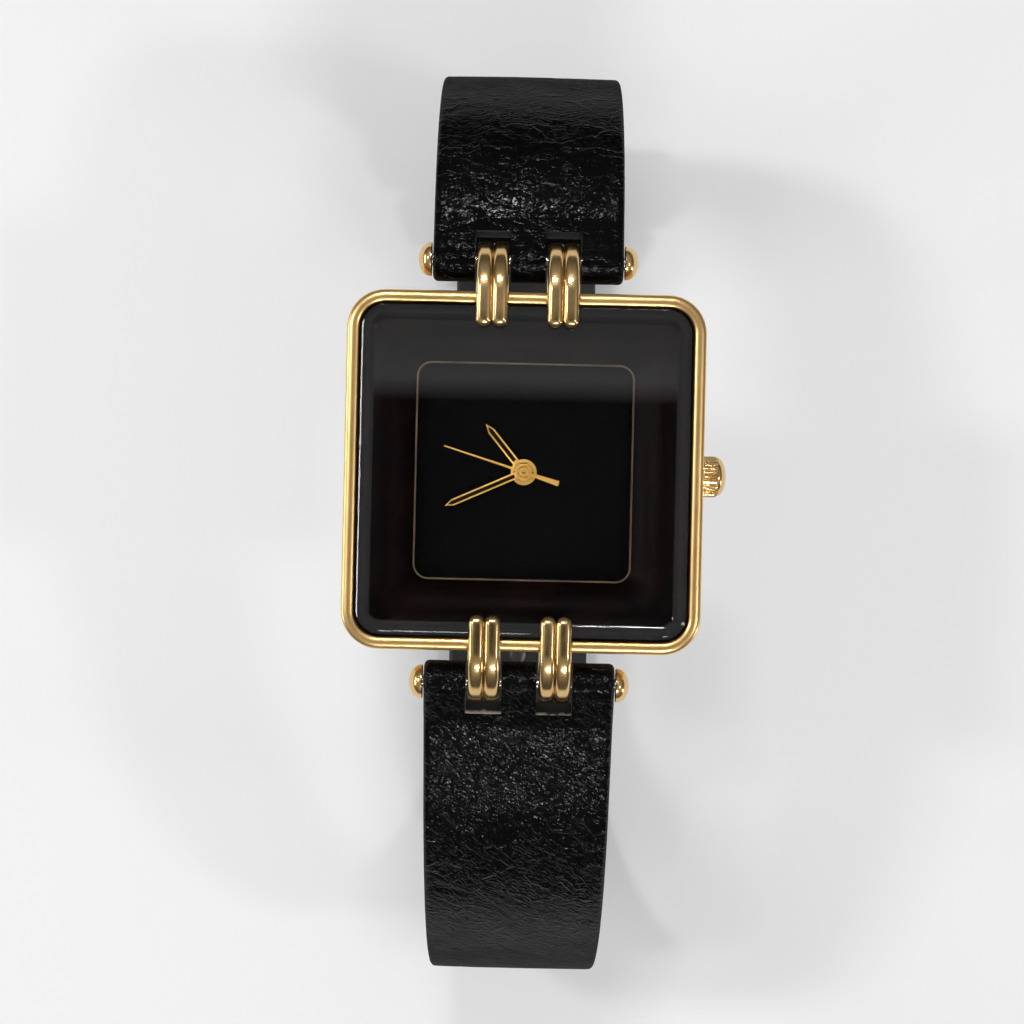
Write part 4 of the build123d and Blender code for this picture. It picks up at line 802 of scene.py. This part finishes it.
# Hoops: ribs along one spine, built once as Geometry Nodes and run for each of the four
hoopSizes = {"arm": 7.35, "near": 11.1, "bend": 13.2, "bendRadius": 3.35, "eyeBend": 1.0, "wall": 12.3,
             "place": 2.6, "ribs": 2, "ribWidth": 1.2, "ribHeight": 0.8, "ribPitch": 1.15, "ribCorner": 0.385,
             "eyeRadius": 1.2, "eyeWidth": 1.9, "eyeBore": 0.4, "eyeEdge": 0.15}


def hoopTree():
    tree, given, result = geometryTree("hoop ribs", {
        "Ribs": "Int", "Pitch": "Float", "Width": "Float", "Height": "Float", "Corner": "Float",
        "Finish": "Material"})
    taper = addNode(tree, "GeometryNodeInputNamedAttribute", {"data_type": "FLOAT"}, Name="taper")
    spine = addNode(tree, "GeometryNodeMeshToCurve", Mesh=given["Geometry"])
    section = addNode(tree, "GeometryNodeCurvePrimitiveQuadrilateral", Width=given["Width"],
                      Height=given["Height"])
    rounded = addNode(tree, "GeometryNodeFilletCurve", {"mode": "POLY"}, Curve=section, Count=6,
                      Radius=given["Corner"])
    swept = addNode(tree, "GeometryNodeCurveToMesh", Curve=spine, Profile_Curve=rounded, Scale=taper,
                    Fill_Caps=True)
    span = combine(tree, "MULTIPLY", combine(tree, "SUBTRACT", given["Ribs"], 1), given["Pitch"])
    start = addNode(tree, "ShaderNodeCombineXYZ", X=combine(tree, "MULTIPLY", span, -0.5))
    step = addNode(tree, "ShaderNodeCombineXYZ", X=given["Pitch"])
    line = addNode(tree, "GeometryNodeMeshLine", {"mode": "OFFSET"}, Count=given["Ribs"],
                   Start_Location=start, Offset=step)
    ribs = addNode(tree, "GeometryNodeInstanceOnPoints", Points=line, Instance=swept)
    giveResult(tree, result, ribs, given["Finish"])
    return tree


def hoopSpine(side):
    # Near end over the crystal, round the strap bar and back to the case wall, with a taper for the domed end
    s = hoopSizes
    dome, steps = s["ribWidth"] / 2, 10
    turns = [radians(90 * step / steps) for step in range(steps + 1)]
    spine = [(s["near"] - dome + dome * (1 - cos(turn)), s["arm"]) for turn in turns]
    tapers = [max(sin(turn), 0.02) for turn in turns]
    spine += [(s["near"] + (s["bend"] - s["near"]) * step / 3, s["arm"]) for step in range(1, 4)]
    spine += arcProfile((s["bend"], barHeight), (s["bendRadius"], s["bendRadius"]), 90, 0, 26)[1:]
    spine += arcProfile((barReach, barHeight), (s["eyeBend"], s["eyeBend"]), 0, -90, 10)[1:]
    spine += [(s["wall"], barHeight - s["eyeBend"])]
    tapers += [1.0] * (len(spine) - len(tapers))
    return [(0, mm * side * y, mm * z) for y, z in spine], tapers


ribTree = hoopTree()


def makeHoop(side, across, name, node):
    s = hoopSizes
    points, tapers = hoopSpine(side)
    mesh = bpy.data.meshes.new(name)
    mesh.from_pydata(points, [(k, k + 1) for k in range(len(points) - 1)], [])
    attribute = mesh.attributes.new("taper", "FLOAT", "POINT")
    attribute.data.foreach_set("value", tapers)
    ribs = addPiece(name, mesh)
    grow(ribs, ribTree, {"Ribs": s["ribs"], "Pitch": s["ribPitch"] * mm, "Width": s["ribWidth"] * mm,
                         "Height": s["ribHeight"] * mm, "Corner": s["ribCorner"] * mm, "Finish": lugGold})
    paint(ribs, lugGold)
    half, edge, radius = s["eyeWidth"] / 2, s["eyeEdge"], s["eyeRadius"]
    start = [(-half, s["eyeBore"]), (-half, radius - edge), (-half + edge, radius)]
    profile = start + [(-along, out) for along, out in reversed(start)]
    eye = turned(name + "Eye", profile, (0, side * barReach, barHeight), lugGold, 48)
    hoop = joinPieces([ribs, eye], name)
    for vertex in hoop.data.vertices:
        vertex.co.x += across * mm
    sharpEdges(hoop, 50)
    finishPiece(hoop, "head", "polished_gold", node)


for side, row in ((1, "Upper"), (-1, "Lower")):
    for across, column in ((-1, "Left"), (1, "Right")):
        node = f"lug_{row.lower()}_{column.lower()}"
        makeHoop(side, across * hoopSizes["place"], f"hoop{row}{column}", node)

# Domed caps on the bar ends
capSizes = {"radius": 1.25, "height": 1.0, "start": 7.1, "rim": 0.12, "edge": 0.05}


def capProfile(end):
    s = capSizes
    rim = [(0, s["radius"] - s["edge"]), (s["edge"], s["radius"]), (s["rim"], s["radius"])]
    dome = arcProfile((s["rim"], 0), (s["height"] - s["rim"], s["radius"]), 90, 2, 16)
    return [(end * (s["start"] + along), radius) for along, radius in rim + dome[1:]]


for side, row in ((1, "upper"), (-1, "lower")):
    centre = (0, side * barReach, barHeight)
    halves = [turned(f"{row}Cap{end}", capProfile(end), centre, caseGold, 56) for end in (1, -1)]
    caps = joinPieces(halves, f"{row}BarCaps")
    finishPiece(caps, "head", "polished_gold", f"{row}_bar_caps")
print("watch: hoops and bar caps")


# Crown: a turned body with ridges set round it by Geometry Nodes
crownSizes = {"start": 12.5, "knurl": 1.85, "radius": 1.525, "ridge": 0.13, "dome": 0.65, "height": 2.35,
              "ridges": 28, "ridgeFill": 0.82}


def crownTree():
    tree, given, result = geometryTree("crown ridges", {"Ridges": "Int", "Finish": "Material"})
    points = addNode(tree, "GeometryNodeMeshLine", {"mode": "OFFSET"}, Count=given["Ridges"],
                     Offset=(0, 0, 0))
    share = combine(tree, "DIVIDE", addNode(tree, "GeometryNodeInputIndex"), given["Ridges"])
    angle = addNode(tree, "ShaderNodeCombineXYZ", X=combine(tree, "MULTIPLY", share, 2 * pi))
    ring = addNode(tree, "GeometryNodeInstanceOnPoints", Points=points, Instance=given["Geometry"],
                   Rotation=angle)
    giveResult(tree, result, ring, given["Finish"])
    return tree


def ridgeBar(name):
    # One rounded ridge of the knurling, its ends run out into the body
    s = crownSizes
    base = s["radius"] - s["ridge"]
    halfWide = pi * s["radius"] / s["ridges"] * s["ridgeFill"]
    stations = [(0, 0.15), (0.08, 0.75), (0.2, 1), (s["knurl"] - 0.25, 1), (s["knurl"] - 0.1, 0.7),
                (s["knurl"], 0.1)]
    section = [(-1, -0.5), (-0.8, 0.2), (-0.45, 0.8), (0, 1), (0.45, 0.8), (0.8, 0.2), (1, -0.5)]
    vertices = [(mm * (s["start"] + along), mm * across * halfWide, mm * (base + s["ridge"] * rise * high))
                for along, high in stations for across, rise in section]
    wide = len(section)
    faces = [(i * wide + j, i * wide + j + 1, (i + 1) * wide + j + 1, (i + 1) * wide + j)
             for i in range(len(stations) - 1) for j in range(wide - 1)]
    faces += [tuple(range(wide)), tuple((len(stations) - 1) * wide + k for k in range(wide))]
    return meshPiece(name, vertices, faces, caseGold)


def crownProfile():
    s = crownSizes
    body, start, end = s["radius"] - s["ridge"], s["start"], s["start"] + s["knurl"]
    side = [(start, 1), (start, body - 0.1), (start + 0.1, body), (end - 0.06, body),
            (end - 0.03, body - 0.06), (end, body - 0.02)]
    return side + arcProfile((end, 0), (s["dome"], body), 88, 3, 16)


crownRidges = ridgeBar("crownRidges")
grow(crownRidges, crownTree(), {"Ridges": crownSizes["ridges"], "Finish": caseGold})
for vertex in crownRidges.data.vertices:
    vertex.co.z += crownSizes["height"] * mm
crownBody = turned("crownBody", crownProfile(), (0, 0, crownSizes["height"]), caseGold, 84)
crownPiece = joinPieces([crownBody, crownRidges], "crownPiece")
sharpEdges(crownPiece, 50)
finishPiece(crownPiece, "crown_turn", "polished_gold", "crown")
print("watch: crown")

# Hands, buckle and tongue: the CAD shape with its edges broken
for node, name, width, body, slot, finish in (
    ("hour_hand", "hourHand", 0.035, "hours", "hand_gold", handGold),
    ("minute_hand", "minuteHand", 0.035, "minutes", "hand_gold", handGold),
    ("second_hand", "secondHand", 0.025, "seconds", "hand_gold", handGold),
    ("buckle_frame", "buckleFrame", 0.22, "buckle", "polished_gold", caseGold),
    ("buckle_tongue", "buckleTongue", 0.12, "tongue", "polished_gold", caseGold),
):
    piece = softenedCopy(node, name, width)
    paint(piece, finish)
    finishPiece(piece, body, slot, node)
print("watch: hands and buckle")

# Keepers: leather loops round the strap, bent about the hub of its last bend
keeperSizes = {"hubY": 9.910, "hubZ": -21.444, "low": 18.12, "high": 23.8, "wall": 0.9, "arc": 11.5,
               "round": 0.7, "innerRound": 0.25, "edge": 0.22, "middle": 21}


def rectangleLoop(low, high, half, corner, steps=5):
    # Points of a round-cornered rectangle, across and out from the hub, as complex numbers
    right, top, bottom = half - corner, high - corner, low + corner
    middles = (complex(right, top), complex(-right, top), complex(-right, bottom), complex(right, bottom))
    return [middle + rect(corner, radians(90 * quarter + 90 * step / steps))
            for quarter, middle in enumerate(middles) for step in range(steps + 1)]


def makeKeeper(name, start, body, node):
    s = keeperSizes
    inset, wall = s["edge"], s["wall"]
    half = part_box(node)[1].x / mm - wall  # half the room inside the CAD keeper
    turn, end = degrees(inset / s["middle"]), start + s["arc"]
    stations = [(start, inset), (start + 0.3 * turn, 0.45 * inset), (start + turn, 0)]
    stations += [(start + turn + (s["arc"] - 2 * turn) * step / 10, 0) for step in range(1, 10)]
    stations += [(end - turn, 0), (end - 0.3 * turn, 0.45 * inset), (end, inset)]

    def bentLoop(angle, *sizes):
        reachY, reachZ = sin(radians(angle)), -cos(radians(angle))
        return [(mm * p.real, mm * (s["hubY"] + p.imag * reachY), mm * (s["hubZ"] + p.imag * reachZ))
                for p in rectangleLoop(*sizes)]

    outside = [bentLoop(angle, s["low"] + cut, s["high"] - cut, half + wall - cut, s["round"])
               for angle, cut in stations]
    inside = [bentLoop(angle, s["low"] + wall - cut, s["high"] - wall + cut, half + cut, s["innerRound"])
              for angle, cut in reversed(stations)]
    piece = loftPiece(name, outside + inside, keeperLeather, False)
    layer = piece.data.uv_layers.new(name="strap")
    for loop in piece.data.loops:
        place = piece.data.vertices[loop.vertex_index].co
        layer.data[loop.index].uv = (place.x / mm, place.z / mm + place.y / mm)
    sharpEdges(piece, 60)
    finishPiece(piece, body, "black_leather", node)


makeKeeper("fixedKeeper", 31, "upper_half", "fixed_keeper")
makeKeeper("freeKeeper", 48, "keeper", "free_keeper")
print("watch: keepers")


# Stage: a pale floor under the strap that runs out into the white world, and a card that the crystal mirrors
stageSizes = {"floor": -42.412, "floorHalf": 900, "fadeStart": 120, "fadeEnd": 420, "cardHeight": 606.9,
              "cardNear": 26.2, "cardFar": 150, "cardHalf": 70, "cardGlowEnd": 80}
cardGlow = [(0, 0), (0.11, 0.38), (0.35, 0.25), (1, 0.2)]


def mirrorRay(tree, rays):
    return combine(tree, "MAXIMUM", rays["Is Glossy Ray"], rays["Is Transmission Ray"])


def glowingCard(name, low, high, stops):
    # A glowing surface whose strength follows stops between two places on the object's Y axis
    material, tree = blankMaterial(name)
    place = addNode(tree, "ShaderNodeTexCoord").outputs["Object"]
    along = addNode(tree, "ShaderNodeSeparateXYZ", Vector=place).outputs["Y"]
    strength = ramp(tree, rangeOf(tree, along, mm * low, mm * high), stops)
    glow = addNode(tree, "ShaderNodeEmission", Color=white, Strength=strength)
    addNode(tree, "ShaderNodeOutputMaterial", Surface=glow)
    return material


def paleFloor():
    # Far from the watch the floor runs out into the white of the world, for camera and mirror rays
    material, tree, shader = shaderTree("pale floor")
    cloud = noiseOf(tree, objectPlace(tree), 3, 3, 0.5)
    wire(tree, shader, Base_Color=ramp(tree, cloud, [(0.3, 0.86), (0.7, 0.88)]), Roughness=0.9,
         Specular_IOR_Level=0.1)
    place = addNode(tree, "ShaderNodeTexCoord").outputs["Object"]
    reach = addNode(tree, "ShaderNodeVectorMath", {"operation": "LENGTH"}, place).outputs["Value"]
    far = rangeOf(tree, reach, mm * stageSizes["fadeStart"], mm * stageSizes["fadeEnd"])
    rays = addNode(tree, "ShaderNodeLightPath").outputs
    seen = combine(tree, "MAXIMUM", rays["Is Camera Ray"], mirrorRay(tree, rays))
    glow = addNode(tree, "ShaderNodeEmission", Color=white, Strength=1)
    layOver(tree, shader, glow, combine(tree, "MULTIPLY", far, seen))
    return material


def stageSheet(name, corners, height, material):
    return meshPiece(name, [(mm * x, mm * y, mm * height) for x, y in corners], [(0, 1, 2, 3)], material)


half = stageSizes["floorHalf"]
floor = stageSheet("floor", ((-half, -half), (half, -half), (half, half), (-half, half)), stageSizes["floor"],
                   paleFloor())
near, far, wide = (stageSizes[key] for key in ("cardNear", "cardFar", "cardHalf"))
card = stageSheet("card", ((-wide, near), (-wide, far), (wide, far), (wide, near)), stageSizes["cardHeight"],
                  glowingCard("card glow", near, stageSizes["cardGlowEnd"], cardGlow))

# Soft lamps, each turned to the watch: place and size in mm, and power
for name, place, size, power in (
    ("leftLamp", (-310, 90, 500), (50, 80), 0.6),
    ("rightLamp", (330, -80, 480), (50, 50), 0.35),
    ("backLamp", (-40, 300, 540), (90, 20), 0.75),
    ("frontLamp", (60, -376, 481), (90, 38), 0.75),
    ("lowLeftLamp", (-580, 0, 215), (400, 70), 1.15),
    ("lowRightLamp", (600, -260, 110), (90, 160), 0.5),
):
    light = bpy.data.lights.new(name, "AREA")
    light.shape = "RECTANGLE"
    light.size, light.size_y = size[0] * mm, size[1] * mm
    light.energy = power
    lamp = addPiece(name, light)
    lamp.location = Vector(place) * mm
    lamp.rotation_euler = (-Vector(place)).to_track_quat("-Z", "Y").to_euler()

# World: even light for surfaces, white for the camera, and for mirrors a graded sky that is dark overhead
worldSizes = {
    "light": 0.38,
    "shown": 1,
    "mirrored": [(0, 0.06), (0.3, 0.12), (0.6, 0.28), (0.9, 0.34), (0.98, 0.30), (0.994, 0.004), (1, 0)],
}
world = bpy.data.worlds.new("studio")
bpy.context.scene.world = world
world.use_nodes = True
sky = world.node_tree
sky.nodes.clear()
rays = addNode(sky, "ShaderNodeLightPath").outputs
direction = addNode(sky, "ShaderNodeTexCoord").outputs["Generated"]
rise = addNode(sky, "ShaderNodeSeparateXYZ", Vector=direction).outputs["Z"]
plain = addNode(sky, "ShaderNodeBackground", Color=white, Strength=worldSizes["light"])
shown = addNode(sky, "ShaderNodeBackground", Color=white, Strength=worldSizes["shown"])
mirrored = addNode(sky, "ShaderNodeBackground", Color=ramp(sky, rise, worldSizes["mirrored"]), Strength=1)
lit = addNode(sky, "ShaderNodeMixShader", None, mirrorRay(sky, rays), plain, mirrored)
whole = addNode(sky, "ShaderNodeMixShader", None, rays["Is Camera Ray"], lit, shown)
addNode(sky, "ShaderNodeOutputWorld", Surface=whole)

# Camera: straight above, matched to the photograph's frame and its slight turn
cameraSizes = {"place": (-0.795, -2.939, 236.2), "turn": 1.3, "lens": 110.8, "sensor": 36, "near": 0.01,
               "far": 10}
view = bpy.data.cameras.new("camera")
view.lens, view.sensor_width = cameraSizes["lens"], cameraSizes["sensor"]
view.clip_start, view.clip_end = cameraSizes["near"], cameraSizes["far"]
camera = addPiece("camera", view)
camera.location = Vector(cameraSizes["place"]) * mm
camera.rotation_euler = (0, 0, radians(cameraSizes["turn"]))
bpy.context.scene.camera = camera
bpy.context.scene.view_settings.view_transform = "Standard"
print("watch: stage, lamps and camera")
